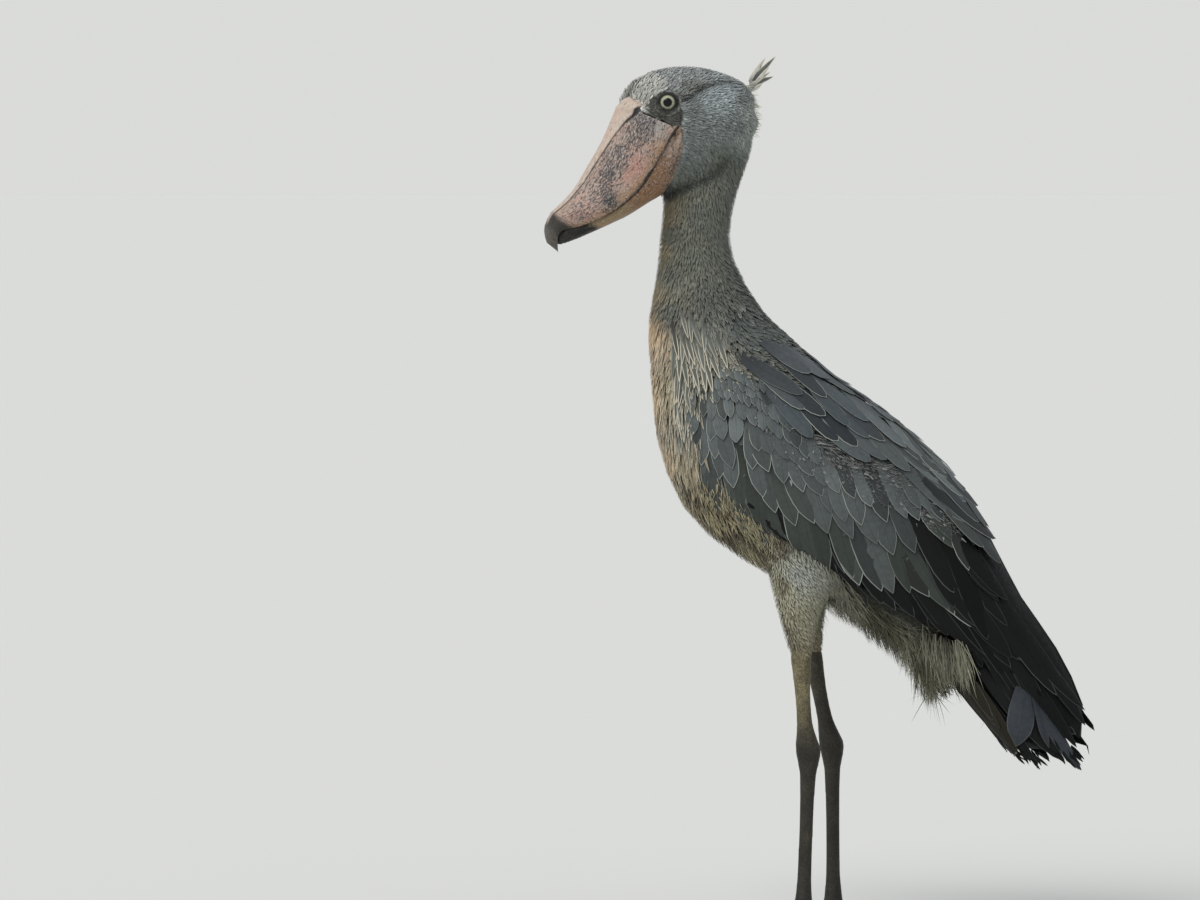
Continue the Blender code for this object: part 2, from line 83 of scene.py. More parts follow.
world = bpy.data.worlds.new("studio_sky")
bpy.context.scene.world = world
world.use_nodes = True
sky = world.node_tree.nodes["Background"]
sky.inputs["Color"].default_value = (0.94, 0.97, 1.0, 1)
sky.inputs["Strength"].default_value = SKY_STRENGTH
seen = world.node_tree.nodes.new("ShaderNodeBackground")
seen.inputs["Color"].default_value = SEEN_BACKDROP
ray = world.node_tree.nodes.new("ShaderNodeLightPath")
either = world.node_tree.nodes.new("ShaderNodeMixShader")
world.node_tree.links.new(ray.outputs["Is Camera Ray"], either.inputs[0])
world.node_tree.links.new(sky.outputs[0], either.inputs[1])
world.node_tree.links.new(seen.outputs[0], either.inputs[2])
world.node_tree.links.new(either.outputs[0], world.node_tree.nodes["World Output"].inputs["Surface"])

bpy.ops.object.light_add(type="SUN", location=(-3, -4, 6))
lamp = bpy.context.object
lamp.name = "studio_lamp"
lamp.data.energy = LAMP_STRENGTH
lamp.data.angle = math.radians(42)
lamp.data.color = (1.0, 0.97, 0.92)
lamp.rotation_mode = "QUATERNION"
lamp.rotation_quaternion = Vector(LAMP_WAY).to_track_quat("-Z", "Y")

bpy.ops.object.camera_add()
camera = bpy.context.object
camera.name = "studio_camera"
camera.data.sensor_width = SENSOR
camera.data.lens = SENSOR * VIEW_DISTANCE / VIEW_WIDTH
camera.data.clip_end = 2 * FLOOR_RADIUS
back = Vector((0, -math.cos(VIEW_RISE), math.sin(VIEW_RISE)))
camera.location = Vector(VIEW_CENTRE) + back * VIEW_DISTANCE
camera.rotation_mode = "QUATERNION"
camera.rotation_quaternion = (-back).to_track_quat("-Z", "Y")
bpy.context.scene.camera = camera
bpy.context.scene.view_settings.view_transform = "Standard"

# ---------------------------------------------------------------- skin
# The bird's hide: one closed surface from the bill's base to the toes, lying under the coat
# by the coat's depth, bare on the face and below the thighs.
SIDES = ((-1, "left"), (1, "right"))
BOTH = ("left", "right")
REGIONS = {
    "head": ["head"],
    "neck": ["neck_upper", "neck_lower"],
    "trunk": ["trunk"],
    "wing": [f"wing_arm_{word}" for word in BOTH],
    "thigh": [f"thigh_{word}" for word in BOTH],
    "undertail": ["undertail"],
    "bare": [
        f"{part}_{word}"
        for part in ("shin", "tarsus", "foot", "toe_inner", "toe_middle", "toe_outer", "toe_hind")
        for word in BOTH
    ],
}
COAT_DEPTH = {
    "head": 3.2, "neck": 5.0, "trunk": 9.0, "wing": 12.0, "thigh": 5.0, "undertail": 12.0, "bare": 0.0,
}
QUILL_NODES = ["wing_quills_left", "wing_quills_right", "tail"]
SEAL = 1.3 * MM
VOXEL = 2.3 * MM
HEAD_TURN = math.radians(18)
HEAD_AXIS_X = -119 * MM
EYE = np.array((-184, 35, 1043.5)) * MM
EYE_RADIUS = 13 * MM
EYE_AXIS = np.array((-0.309, 0.951, 0.0))
IRIS_RADIUS = 10.2 * MM
FEWER = 0.32
EYE_REACH = 36 * MM
# The lids' section: degrees from the eye's axis, and the distance from its middle in millimetres
LID_SECTION = (
    (0, 11.0), (46.0, 11.0), (48.0, 12.7), (51, 14.0), (55, 14.7), (61, 14.4), (68, 13.9), (90, 13.9),
)
TONGUE = np.array((-219, -4, 1033)) * MM
TONGUE_SIZE = np.array((20.5, 32, 18.5)) * MM


def to_head(points):
    """Row-frame points in the head's own straight-ahead coordinates."""
    c, s = math.cos(HEAD_TURN), math.sin(HEAD_TURN)
    x = points[:, 0] - ORIGIN_X - HEAD_AXIS_X
    y = points[:, 1]
    return np.stack([x * c + y * s + HEAD_AXIS_X, y * c - x * s, points[:, 2]], axis=1)


def from_head(points):
    c, s = math.cos(HEAD_TURN), math.sin(HEAD_TURN)
    x = points[:, 0] - HEAD_AXIS_X
    y = points[:, 1]
    return np.stack([x * c - y * s + HEAD_AXIS_X + ORIGIN_X, x * s + y * c, points[:, 2]], axis=1)


def turn_from_head(vectors):
    c, s = math.cos(HEAD_TURN), math.sin(HEAD_TURN)
    x, y = vectors[:, 0], vectors[:, 1]
    return np.stack([x * c - y * s, x * s + y * c, vectors[:, 2]], axis=1)


def unit(vectors):
    return vectors / np.maximum(np.linalg.norm(vectors, axis=-1, keepdims=True), 1e-9)


def read(items, name, width, kind=np.float32):
    """One attribute of every item of a collection, in rows of a width."""
    values = np.empty(len(items) * width, kind)
    items.foreach_get(name, values)
    return values.reshape(-1, width)


def coordinates(mesh):
    return read(mesh.vertices, "co", 3).astype(float)


def vertex_normals(mesh):
    return read(mesh.vertex_normals, "vector", 3).astype(float)


def set_coordinates(mesh, co):
    mesh.vertices.foreach_set("co", co.astype(np.float32).ravel())
    mesh.update()


def only(obj):
    deselect()
    obj.select_set(True)
    bpy.context.view_layer.objects.active = obj


def apply_all(obj):
    only(obj)
    for modifier in list(obj.modifiers):
        bpy.ops.object.modifier_apply(modifier=modifier.name)


def node_copy(node, swell=0.0):
    """A copy of a CAD node with its loose triangles joined, swollen along its normals."""
    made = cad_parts[node].copy()
    made.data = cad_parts[node].data.copy()
    made.parent = None
    bpy.context.scene.collection.objects.link(made)
    form = bmesh.new()
    form.from_mesh(made.data)
    bmesh.ops.remove_doubles(form, verts=form.verts, dist=1e-5)
    form.to_mesh(made.data)
    form.free()
    set_coordinates(made.data, coordinates(made.data) + vertex_normals(made.data) * swell)
    return made


def shell_of(name, nodes, voxel, extra=()):
    """One closed smooth surface round several nodes."""
    copies = [node_copy(node, SEAL) for node in nodes] + list(extra)
    deselect()
    for copy in copies:
        copy.select_set(True)
    bpy.context.view_layer.objects.active = copies[0]
    bpy.ops.object.join()
    made = bpy.context.object
    made.name = made.data.name = name
    made.data.materials.clear()
    remesh = made.modifiers.new("remesh", "REMESH")
    remesh.mode = "VOXEL"
    remesh.voxel_size = voxel
    soften = made.modifiers.new("soften", "SMOOTH")
    soften.factor = 0.5
    soften.iterations = 5
    apply_all(made)
    return made


def lid_ball(side):
    """The closed lids' ball round an eye."""
    deselect()
    bpy.ops.mesh.primitive_uv_sphere_add(segments=40, ring_count=24, radius=EYE_RADIUS + SEAL + 0.8 * MM)
    ball = bpy.context.object
    centre = from_head((EYE * (1, side, 1))[None])[0]
    set_coordinates(ball.data, coordinates(ball.data) + centre)
    return ball


def in_tongue(head):
    """How far out of the bill plate's rounded upper end a point lies, 1 on its surface."""
    return np.linalg.norm((head - TONGUE) / TONGUE_SIZE, axis=1)


def bill_tongue():
    """The rounded upper end of the bill's ridge plate, between the lobes of the forehead."""
    deselect()
    bpy.ops.mesh.primitive_uv_sphere_add(segments=48, ring_count=28, radius=1)
    ball = bpy.context.object
    set_coordinates(ball.data, from_head(coordinates(ball.data) * (TONGUE_SIZE + SEAL) + TONGUE))
    return ball


def thinned(obj, kept, hidden):
    """Fewer faces on the hidden vertices, every face kept on the others."""
    group = obj.vertex_groups.new(name="hidden")
    group.add(np.nonzero(hidden)[0].tolist(), 1.0, "REPLACE")
    fewer = obj.modifiers.new("fewer", "DECIMATE")
    fewer.ratio = kept
    fewer.vertex_group = "hidden"
    apply_all(obj)
    obj.vertex_groups.clear()


def refined(obj, centre, reach):
    """Each face near a point split into four."""
    form = bmesh.new()
    form.from_mesh(obj.data)
    near = [edge for edge in form.edges if all((v.co - centre).length < reach for v in edge.verts)]
    bmesh.ops.subdivide_edges(form, edges=near, cuts=1, use_grid_fill=True)
    bmesh.ops.triangulate(form, faces=[face for face in form.faces if len(face.verts) > 4])
    form.to_mesh(obj.data)
    form.free()


def eye_frame(side):
    """An eye's middle and the way it looks."""
    mirror = np.array((1, side, 1))
    return from_head((EYE * mirror)[None])[0], turn_from_head((EYE_AXIS * mirror)[None])[0]


def round_eye(points):
    """Distance from the axis of the nearer eye."""
    best = np.full(len(points), 1.0)
    angle = np.full(len(points), 180.0)
    for side, _ in SIDES:
        centre, axis = eye_frame(side)
        off = points - centre
        length = np.linalg.norm(off, axis=1)
        turned = np.degrees(np.arccos(np.clip(off @ axis / np.maximum(length, 1e-9), -1, 1)))
        nearer = length < best
        best = np.where(nearer, length, best)
        angle = np.where(nearer, turned, angle)
    return best * np.sin(np.radians(angle))


def bvh_of(nodes):
    """One tree of triangles round several nodes."""
    verts, faces = [], []
    for node in nodes:
        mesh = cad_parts[node].data
        mesh.calc_loop_triangles()
        start = len(verts)
        verts += [v.co.copy() for v in mesh.vertices]
        faces += [tuple(start + i for i in tri.vertices) for tri in mesh.loop_triangles]
    return BVHTree.FromPolygons(verts, faces)


def tree_of(points):
    """A search tree of points."""
    tree = kdtree.KDTree(len(points))
    for index, point in enumerate(points.tolist()):
        tree.insert(point, index)
    tree.balance()
    return tree


def nearest(tree, points):
    """The number of the tree's nearest point to each point."""
    return np.array([tree.find(p)[1] for p in points.tolist()])


def distances(tree, points, reach):
    """How far each point is from a tree's surface, up to a reach."""
    found = (tree.find_nearest(p, reach)[3] for p in points.tolist())
    return np.array([reach if d is None else d for d in found])


def averaged(mesh, values, rounds):
    """Values on the vertices, evened out with their neighbours'."""
    a, b = read(mesh.edges, "vertices", 2, np.int32).T
    count = np.bincount(a, minlength=len(values)) + np.bincount(b, minlength=len(values))
    for _ in range(rounds):
        total = np.bincount(a, values[b], len(values)) + np.bincount(b, values[a], len(values))
        values = 0.5 * values + 0.5 * total / np.maximum(count, 1)
    return values


def smooth_step(low, high, value):
    t = np.clip((value - low) / (high - low), 0, 1)
    return t * t * (3 - 2 * t)


def step_mm(low, high, value):
    """A smooth step between two sizes in millimetres."""
    return smooth_step(low * MM, high * MM, value)


def bell(off, width):
    """1 in the middle, falling off softly on both sides over a width."""
    return np.exp(-((off / width) ** 2))


def section(at, pairs):
    """A size from (place, millimetres) pairs, in metres."""
    places, sizes = np.array(pairs, float).T
    return np.interp(at, places, sizes * MM)


def path_distance(points, path):
    """The distance of (x, z) points from a path, and their share of the way along it."""
    path = np.array(path, float) * MM
    spans = np.linalg.norm(np.diff(path, axis=0), axis=1)
    starts = np.concatenate([[0], np.cumsum(spans)])
    best = np.full(len(points), 1e9)
    share = np.zeros(len(points))
    for k, (p, q) in enumerate(zip(path[:-1], path[1:])):
        way = (q - p) / spans[k]
        along = np.clip((points - p) @ way, 0, spans[k])
        off = np.linalg.norm(points - p - along[:, None] * way, axis=1)
        nearer = off < best
        best = np.where(nearer, off, best)
        share = np.where(nearer, (starts[k] + along) / starts[-1], share)
    return best, share


# Lines of the face, in the head's side view: (x, z) in millimetres
BILL_BASE = (
    (-222, 1050), (-216, 1038), (-205, 1029), (-191, 1021), (-179, 1014), (-171, 1015),
)
CROWN_CREASE = (
    (-171, 1043), (-164, 1047), (-157, 1050), (-147, 1057), (-135, 1063.5), (-121, 1067.5), (-105, 1069.5),
    (-88, 1068),
)
BARE_FACE = (
    (-216, 1036), (-210, 1045), (-202, 1052), (-194, 1056), (-185, 1058.5), (-176, 1056.5), (-170.5, 1050),
    (-168.5, 1043), (-169, 1036), (-168, 1029), (-169.5, 1020), (-171, 1011), (-180, 1009), (-205, 1024),
)
GAPE_PLATE = (
    (-196, 1012), (-171.5, 1013), (-169, 1008), (-167.5, 987), (-170, 973), (-176, 944), (-183, 927),
    (-200, 927), (-222, 948), (-205, 985),
)
# Half the distance between the forehead's two lobes, and how deep the valley between them is, by height
LOBE_HEIGHTS = (1036, 1040, 1055, 1064, 1070, 1076, 1084)
LOBE_HALF = (22, 22, 21, 16, 11, 7, 4)
VALLEY_DEPTH = (2, 9.5, 11.5, 9.0, 6.5, 3, 0)
JAW_FOLD = ((-189, 927), (-163, 936), (-123, 954), (-103, 980), (-96, 1005))


def inside(points, outline):
    """How far (x, z) points lie inside an outline, negative outside."""
    ring = list(outline) + [outline[0]]
    off, _ = path_distance(points, ring)
    within = np.zeros(len(points), bool)
    for (x0, z0), (x1, z1) in zip(ring[:-1], ring[1:]):
        x0, z0, x1, z1 = x0 * MM, z0 * MM, x1 * MM, z1 * MM
        if z0 == z1:
            continue
        crosses = (points[:, 1] > min(z0, z1)) & (points[:, 1] <= max(z0, z1))
        at = x0 + (points[:, 1] - z0) * (x1 - x0) / (z1 - z0)
        within ^= crosses & (points[:, 0] < at)
    return np.where(within, off, -off)


def wobble(points, size, seed=0.0, octaves=1):
    """Soft noise from about -1 to 1, with patches of a size."""
    found = []
    for x, y, z in (points / size).tolist():
        found.append(noise.fractal(Vector((x + seed, y - seed, z + 2 * seed)), 1.0, 2.0, octaves))
    return np.array(found)


def crease_height(x):
    """The height of the crease under the crown, by the place along the head."""
    return np.interp(x, *(np.array(CROWN_CREASE).T * MM))


def relief(head):
    """How far the head's surface stands out from its plain form, at points in head coordinates."""
    flat = head[:, [0, 2]]
    side = np.abs(head[:, 1])
    lateral = step_mm(22, 34, side)
    crease, share = path_distance(flat, CROWN_CREASE)
    fade = smooth_step(0.0, 0.12, share) * smooth_step(1.0, 0.8, share)
    above = flat[:, 1] > crease_height(flat[:, 0])
    out = -3.2 * MM * bell(crease, 2.2 * MM) * fade * lateral
    brow = bell(crease - 5 * MM, 5 * MM) * above
    out += 2.4 * MM * brow * fade * lateral
    cheek = bell(crease - 10 * MM, 8 * MM) * ~above
    out += 2.2 * MM * cheek * fade * lateral
    high = head[:, 2] / MM
    lobe = np.interp(high, LOBE_HEIGHTS, LOBE_HALF)
    across = side / MM / lobe
    forehead = step_mm(-190, -206, head[:, 0]) * (high > 1036)
    valley = np.interp(high, LOBE_HEIGHTS, VALLEY_DEPTH)
    out -= valley * MM * (1 - smooth_step(0.25, 0.95, across)) * forehead
    bulge = bell(side / MM - lobe - 1, 6) * smooth_step(1041, 1049, high) * smooth_step(1084, 1066, high)
    out += 2.4 * MM * bulge * forehead
    fold, along = path_distance(flat, JAW_FOLD)
    out -= 2.0 * MM * bell(fold, 5 * MM) * smooth_step(1.0, 0.6, along) * lateral
    out = np.where((head[:, 0] < -60 * MM) & (head[:, 2] > 925 * MM), out, 0.0)
    nape = step_mm(-78, -60, head[:, 0]) * bell(high - 1034, 13)
    return out - 6.0 * MM * nape


def smoothed(mesh, rounds):
    """The vertices' places with the flats of the faceted solids evened out, but not on the thin legs."""
    points = coordinates(mesh)
    soft = np.stack([averaged(mesh, points[:, k], rounds) for k in range(3)], axis=1)
    share = smooth_step(0.30, 0.40, points[:, 2])[:, None]
    moved = points * (1 - share) + soft * share
    set_coordinates(mesh, moved)
    return moved


flesh_nodes = [node for nodes in REGIONS.values() for node in nodes]
skin = shell_of("skin", flesh_nodes, VOXEL, [lid_ball(side) for side, _ in SIDES])
hull = shell_of("hull", [n for n in flesh_nodes if "toe" not in n and "foot" not in n] + QUILL_NODES, VOXEL)

folded = shell_of("folded_wings", ["trunk", "neck_lower", *REGIONS["wing"], *QUILL_NODES], VOXEL)
folded_points = smoothed(folded.data, 22)

region_names = list(REGIONS)
trees = {name: bvh_of(nodes) for name, nodes in REGIONS.items()}
bill_tree = bvh_of(["bill_upper", "bill_lower"])


def regions_at(points):
    far = np.stack([distances(trees[name], points, 0.03) for name in region_names], axis=1)
    return far.argmin(axis=1)


skin_points = smoothed(skin.data, 8)
skin_regions = regions_at(skin_points)
depth = np.array([COAT_DEPTH[name] for name in region_names])[skin_regions] * MM
head_points = to_head(skin_points)
face = step_mm(-2, 2, inside(head_points[:, [0, 2]], BARE_FACE)) * (skin_regions == 0)
bill_gap = distances(bill_tree, skin_points, 0.02)
gape = step_mm(-3, 2, inside(head_points[:, [0, 2]], GAPE_PLATE)) * (skin_regions == 0)
depth *= (1 - face) * step_mm(2, 12, bill_gap) * (1 - gape)
depth = averaged(skin.data, depth, 12)
normals = vertex_normals(skin.data)
on_head = step_mm(935, 955, head_points[:, 2])
skin_points -= normals * (SEAL + depth - relief(head_points) * on_head)[:, None]
skin_points[:, 2] = np.maximum(skin_points[:, 2], 0.1 * MM)
set_coordinates(skin.data, skin_points)
coarse = tree_of(skin_points)
hidden = np.isin(skin_regions, [region_names.index(name) for name in ("neck", "trunk", "wing", "undertail")])
thinned(skin, FEWER, hidden & (head_points[:, 2] < 0.93))
for side, _ in SIDES:
    centre = Vector(eye_frame(side)[0])
    refined(skin, centre, EYE_REACH)
    refined(skin, centre, EYE_REACH - 4 * MM)
skin_points = coordinates(skin.data)
came_from = nearest(coarse, skin_points)
skin_regions = skin_regions[came_from]
bill_gap = bill_gap[came_from]
skin_head = to_head(skin_points)
ragged = 1.3 * MM * wobble(skin_points, 0.006, 12.0, 2)
face = step_mm(-2, 2, inside(skin_head[:, [0, 2]], BARE_FACE) + ragged) * (skin_regions == 0)

# Lids round each eye, a ring fold outside them, and wrinkles that follow the bill's base
for side, _ in SIDES:
    centre, axis = eye_frame(side)
    off = skin_points - centre
    length = np.linalg.norm(off, axis=1)
    angle = np.degrees(np.arccos(np.clip(off @ axis / length, -1, 1)))
    lid = section(angle, LID_SECTION)
    kept = smooth_step(60, 74, angle)
    shaped = lid * (1 - kept) + np.maximum(length, LID_SECTION[-1][1] * MM) * kept
    near = (length < 19 * MM) & (angle < 92)
    skin_points = np.where(near[:, None], centre + off / length[:, None] * shaped[:, None], skin_points)
set_coordinates(skin.data, skin_points)
eye_gap = round_eye(skin_points)
base_gap, _ = path_distance(skin_head[:, [0, 2]], BILL_BASE)
round_lids = step_mm(22, 16, eye_gap)
fold_gap = base_gap * (1 - round_lids) + eye_gap * round_lids
wrinkle = np.sin(fold_gap / (2.5 * MM) * 2 * math.pi + 2.4 * wobble(skin_points, 0.010, 4.0, 2))
wrinkle = wrinkle * step_mm(14.5, 17, eye_gap) * face
wrinkle = wrinkle * smooth_step(-0.6, 0.5, wobble(skin_points, 0.008, 9.0, 1))
ring = -0.7 * bell(eye_gap - 14.2 * MM, 0.8 * MM) + 0.35 * bell(eye_gap - 16.0 * MM, 1.0 * MM)
# Between the folded wings the hide draws in towards the bird's middle
QUILL_LOW_EDGE = ((-0.02, 0.02, 0.08, 0.14, 0.20), (0.475, 0.455, 0.408, 0.374, 0.345))
edge_height = np.interp(skin_points[:, 0] - ORIGIN_X, *QUILL_LOW_EDGE)
under_wing = smooth_step(0.0, 14 * MM, skin_points[:, 2] - edge_height)
under_wing *= smooth_step(0.04, 0.09, skin_points[:, 0] - ORIGIN_X)
under_wing *= np.isin(skin_regions, [region_names.index(name) for name in ("trunk", "undertail")])
under_wing = averaged(skin.data, under_wing, 6)
skin_points[:, 1] *= 1 - 0.45 * under_wing
near_eye = (skin_head[:, 2] > 1.0) & (np.abs(skin_head[:, 1]) > 25 * MM) & (face > 0)
skin_points += vertex_normals(skin.data) * ((0.42 * wrinkle + ring * near_eye) * MM)[:, None]
set_coordinates(skin.data, skin_points)

hull_points = smoothed(hull.data, 22)
hull_points += vertex_normals(hull.data) * (relief(to_head(hull_points)) - SEAL)[:, None]
set_coordinates(hull.data, hull_points)

# ---------------------------------------------------------------- lie and markings
# How the feathers lie and what colour they are. Both are painted on the bird's side view, and the
# skin and every coat take them from here, so that a mark runs through from one to the next.
PALETTE = {
    "black": (0.0050, 0.0054, 0.0056),
    "slate": (0.072, 0.085, 0.085),
    "slate_low": (0.036, 0.043, 0.037),
    "blue_slate": (0.078, 0.090, 0.100),
    "ash": (0.235, 0.262, 0.256),
    "pale_ash": (0.400, 0.455, 0.470),
    "shade": (0.120, 0.130, 0.124),
    "smoke": (0.200, 0.215, 0.182),
    "dusk": (0.140, 0.152, 0.135),
    "nape": (0.400, 0.435, 0.395),
    # painted warm light, for the lit front edge of the neck
    "lit_sand": (0.440, 0.370, 0.240),
    "crown": (0.240, 0.262, 0.268),
    "brow": (0.430, 0.435, 0.400),
    "buff": (0.610, 0.450, 0.285),
    "oat": (0.300, 0.262, 0.172),
    "grey_breast": (0.120, 0.128, 0.110),
    "fawn": (0.395, 0.355, 0.215),
    "umber": (0.075, 0.060, 0.040),
    "dove": (0.410, 0.395, 0.285),
    "frost": (0.390, 0.410, 0.370),
    "thigh_low": (0.330, 0.290, 0.195),
    "scapular": (0.052, 0.065, 0.073),
    "olive": (0.120, 0.118, 0.075),
    "earth": (0.024, 0.020, 0.013),
    "crest": (0.520, 0.510, 0.460),
    "lores": (0.046, 0.046, 0.041),
    "gape": (0.240, 0.165, 0.118),
    "lid_dark": (0.008, 0.008, 0.008),
    # painted highlight for the fold round the eyes
    "lid_fold_highlight": (0.170, 0.175, 0.155),
    "leg": (0.190, 0.163, 0.092),
    # the legs' darker colour, also used as painted shade on the far leg
    "leg_dark": (0.026, 0.024, 0.018),
    "bloom": (0.036, 0.042, 0.050),
    "mauve": (0.185, 0.188, 0.186),
    "shoulder": (0.098, 0.115, 0.115),
    "plume": (0.340, 0.335, 0.250),
}
# (x, z) in millimetres, then the way the feathers point
BODY_LIE = (
    (-128, 900, 0.05, -1.0), (-165, 880, 0.0, -1.0), (-83, 919, 0.15, -1.0), (-141, 810, 0.02, -1.0),
    (-180, 790, -0.02, -1.0), (-77, 829, 0.25, -1.0), (-45, 778, 0.45, -0.9), (-100, 760, 0.22, -1.0),
    (-186, 690, 0.0, -1.0), (-145, 690, 0.08, -1.0), (-51, 746, 0.70, -0.75), (0, 701, 0.85, -0.6),
    (-110, 700, 0.45, -0.9), (-182, 610, 0.06, -1.0), (-160, 560, 0.30, -0.95), (-128, 516, 0.60, -0.80),
    (-70, 471, 0.68, -0.75), (-26, 433, 0.70, -0.7), (30, 420, 0.6, -0.8), (90, 400, 0.42, -0.9),
    (147, 356, 0.45, -0.9), (195, 340, 0.50, -0.88), (218, 285, 0.62, -0.78), (120, 560, 0.75, -0.65),
    (200, 450, 0.65, -0.76), (260, 350, 0.62, -0.78), (300, 290, 0.60, -0.80),
)
HEAD_LIE = (
    (-230, 1050, 0.45, 0.9), (-222, 1068, 0.65, 0.75), (-205, 1076, 0.85, 0.5), (-175, 1085, 1.0, 0.10),
    (-140, 1091, 1.0, -0.05), (-100, 1082, 0.95, -0.35), (-75, 1068, 0.8, -0.6), (-165, 1062, 1.0, 0.35),
    (-185, 1068, 0.9, 0.5), (-150, 1040, 0.95, 0.1), (-155, 1010, 0.95, -0.35), (-160, 975, 0.85, -0.6),
    (-165, 945, 0.75, -0.75), (-120, 1045, 0.9, -0.25), (-115, 1000, 0.7, -0.75), (-85, 1040, 0.6, -0.8),
    (-75, 1005, 0.25, -1.0), (-100, 960, 0.2, -1.0), (-130, 950, 0.35, -0.95),
)
# The sand spots down the front edge of the neck are painted warm light.
BODY_MARKS = (
    (-128, 900, "smoke"), (-141, 850, "smoke"), (-178, 900, "lit_sand"), (-182, 860, "lit_sand"),
    (-160, 880, "smoke"), (-162, 830, "smoke"), (-188, 810, "lit_sand"), (-165, 785, "dusk"), (-83, 919, "smoke"),
    (-95, 870, "smoke"), (-77, 829, "dusk"), (-45, 778, "slate"), (-120, 800, "dusk"), (-120, 765, "dusk"),
    (-192, 765, "buff"), (-186, 700, "buff"), (-182, 625, "buff"), (-168, 700, "oat"),
    (-145, 700, "grey_breast"), (-120, 705, "grey_breast"), (-150, 655, "grey_breast"), (-148, 610, "oat"),
    (-164, 575, "fawn"), (-128, 516, "fawn"), (-70, 471, "fawn"), (-80, 765, "slate"), (-51, 746, "slate"),
    (0, 701, "slate"), (-7, 445, "frost"), (-28, 430, "dove"), (0, 385, "dove"), (0, 338, "thigh_low"),
    (90, 407, "olive"), (147, 356, "plume"), (211, 330, "plume"), (218, 285, "olive"), (269, 228, "earth"),
    (110, 570, "blue_slate"), (200, 450, "slate"),
)
HEAD_MARKS = (
    (-226, 1055, "brow"), (-215, 1070, "brow"), (-200, 1068, "brow"), (-195, 1080, "crown"),
    (-170, 1082, "crown"), (-140, 1090, "crown"), (-100, 1082, "crown"), (-75, 1070, "ash"),
    (-222, 1046, "brow"), (-178, 1066, "crown"), (-164, 1060, "shade"), (-152, 1060, "shade"),
    (-140, 1072, "crown"), (-112, 1050, "pale_ash"), (-125, 1053, "pale_ash"), (-138, 1043, "pale_ash"),
    (-108, 1060, "pale_ash"), (-90, 1050, "ash"), (-152, 1030, "ash"), (-100, 1020, "ash"),
    (-120, 1015, "ash"), (-150, 1010, "ash"), (-160, 980, "ash"), (-165, 945, "smoke"), (-120, 970, "smoke"),
    (-80, 1000, "nape"), (-72, 1030, "nape"), (-100, 950, "smoke"), (-182, 930, "shade"),
)


def side_view(points):
    """(x, z) on the bird's side view."""
    return np.stack([points[:, 0] - ORIGIN_X, points[:, 2]], axis=1)


def painted(flat, spots, values, power=3.0):
    """Values blended between painted spots, the nearer ones counting more."""
    spots = np.array(spots, float) * MM
    off = np.linalg.norm(flat[:, None] - spots[None], axis=2)
    share = 1.0 / np.maximum(off, 2 * MM) ** power
    share /= share.sum(axis=1, keepdims=True)
    return share @ np.array(values, float)


def on_head_share(points):
    """1 on the head, 0 on the neck and below, blended under the jaw and nape."""
    head = to_head(points)
    edge = np.interp(head[:, 0], (-0.175, -0.115, -0.060), (0.925, 0.950, 0.985))
    return step_mm(-6, 6, head[:, 2] - edge)


def lie_at(points, normals):
    """The way the feathers point, along the surface."""
    body = painted(side_view(points), [r[:2] for r in BODY_LIE], [r[2:] for r in BODY_LIE])
    head = painted(to_head(points)[:, [0, 2]], [r[:2] for r in HEAD_LIE], [r[2:] for r in HEAD_LIE])
    blank = np.zeros(len(points))
    body = np.stack([body[:, 0], blank, body[:, 1]], axis=1)
    head = turn_from_head(np.stack([head[:, 0], blank, head[:, 1]], axis=1))
    share = on_head_share(points)[:, None]
    way = unit(head) * share + unit(body) * (1 - share)
    return unit(way - normals * (way * normals).sum(axis=1, keepdims=True))


def blended(tone, colour, share):
    """A tone with a share of a colour over it."""
    share = np.clip(share, 0, 1)[:, None]
    return tone * (1 - share) + np.array(colour) * share


def tone_at(points):
    """The plumage's colour."""
    flat = side_view(points)
    face_side = to_head(points)
    face_flat = face_side[:, [0, 2]]
    body = painted(flat, [r[:2] for r in BODY_MARKS], [PALETTE[r[2]] for r in BODY_MARKS])
    head = painted(face_flat, [r[:2] for r in HEAD_MARKS], [PALETTE[r[2]] for r in HEAD_MARKS])
    share = on_head_share(points)
    tone = head * share[:, None] + body * (1 - share[:, None])
    # Shade in the fold under the jaw, under the crown's crease and between the forehead's lobes
    fold, along = path_distance(face_flat, JAW_FOLD)
    soft_fold = 0.5 * bell(fold, 6 * MM) * smooth_step(1.0, 0.5, along)
    tone = tone * (1 - soft_fold[:, None])
    line, along = path_distance(face_flat, CROWN_CREASE)
    above = face_side[:, 2] > crease_height(face_side[:, 0])
    dim = 0.55 * bell(line, np.where(above, 6 * MM, 2 * MM)) * smooth_step(1.0, 0.8, along) * share
    across = np.abs(face_side[:, 1]) / MM / np.interp(face_side[:, 2] / MM, LOBE_HEIGHTS, LOBE_HALF)
    front = step_mm(-196, -208, face_side[:, 0])
    front = front * step_mm(1082, 1070, face_side[:, 2])
    dim = np.maximum(dim, 0.6 * (1 - smooth_step(0.35, 0.95, across)) * front * share)
    tone = tone * (1 - dim[:, None])
    # Brown streaks that slant back over the belly
    belly = smooth_step(-0.5, 0.2, (0.60 - flat[:, 1]) / 0.1) * smooth_step(0.02, -0.04, flat[:, 0])
    belly = belly * (1 - share)
    down, back = flat[:, 0] * 0.75 - flat[:, 1] * 0.66, flat[:, 0] * 0.66 + flat[:, 1] * 0.75
    streaks = np.stack([down, points[:, 1], back], axis=1)
    dark = smooth_step(-0.02, 0.16, wobble(streaks * (1, 2.2, 2.4), 0.034, 3.1, 2)) * belly * 0.88
    tone = blended(tone, np.array(PALETTE["umber"]) * 1.3, dark)
    uneven = 1 + 0.15 * wobble(points, 0.009, 7.7, 2) + 0.16 * wobble(points, 0.0042, 1.7, 1) * share
    return tone * uneven[:, None]


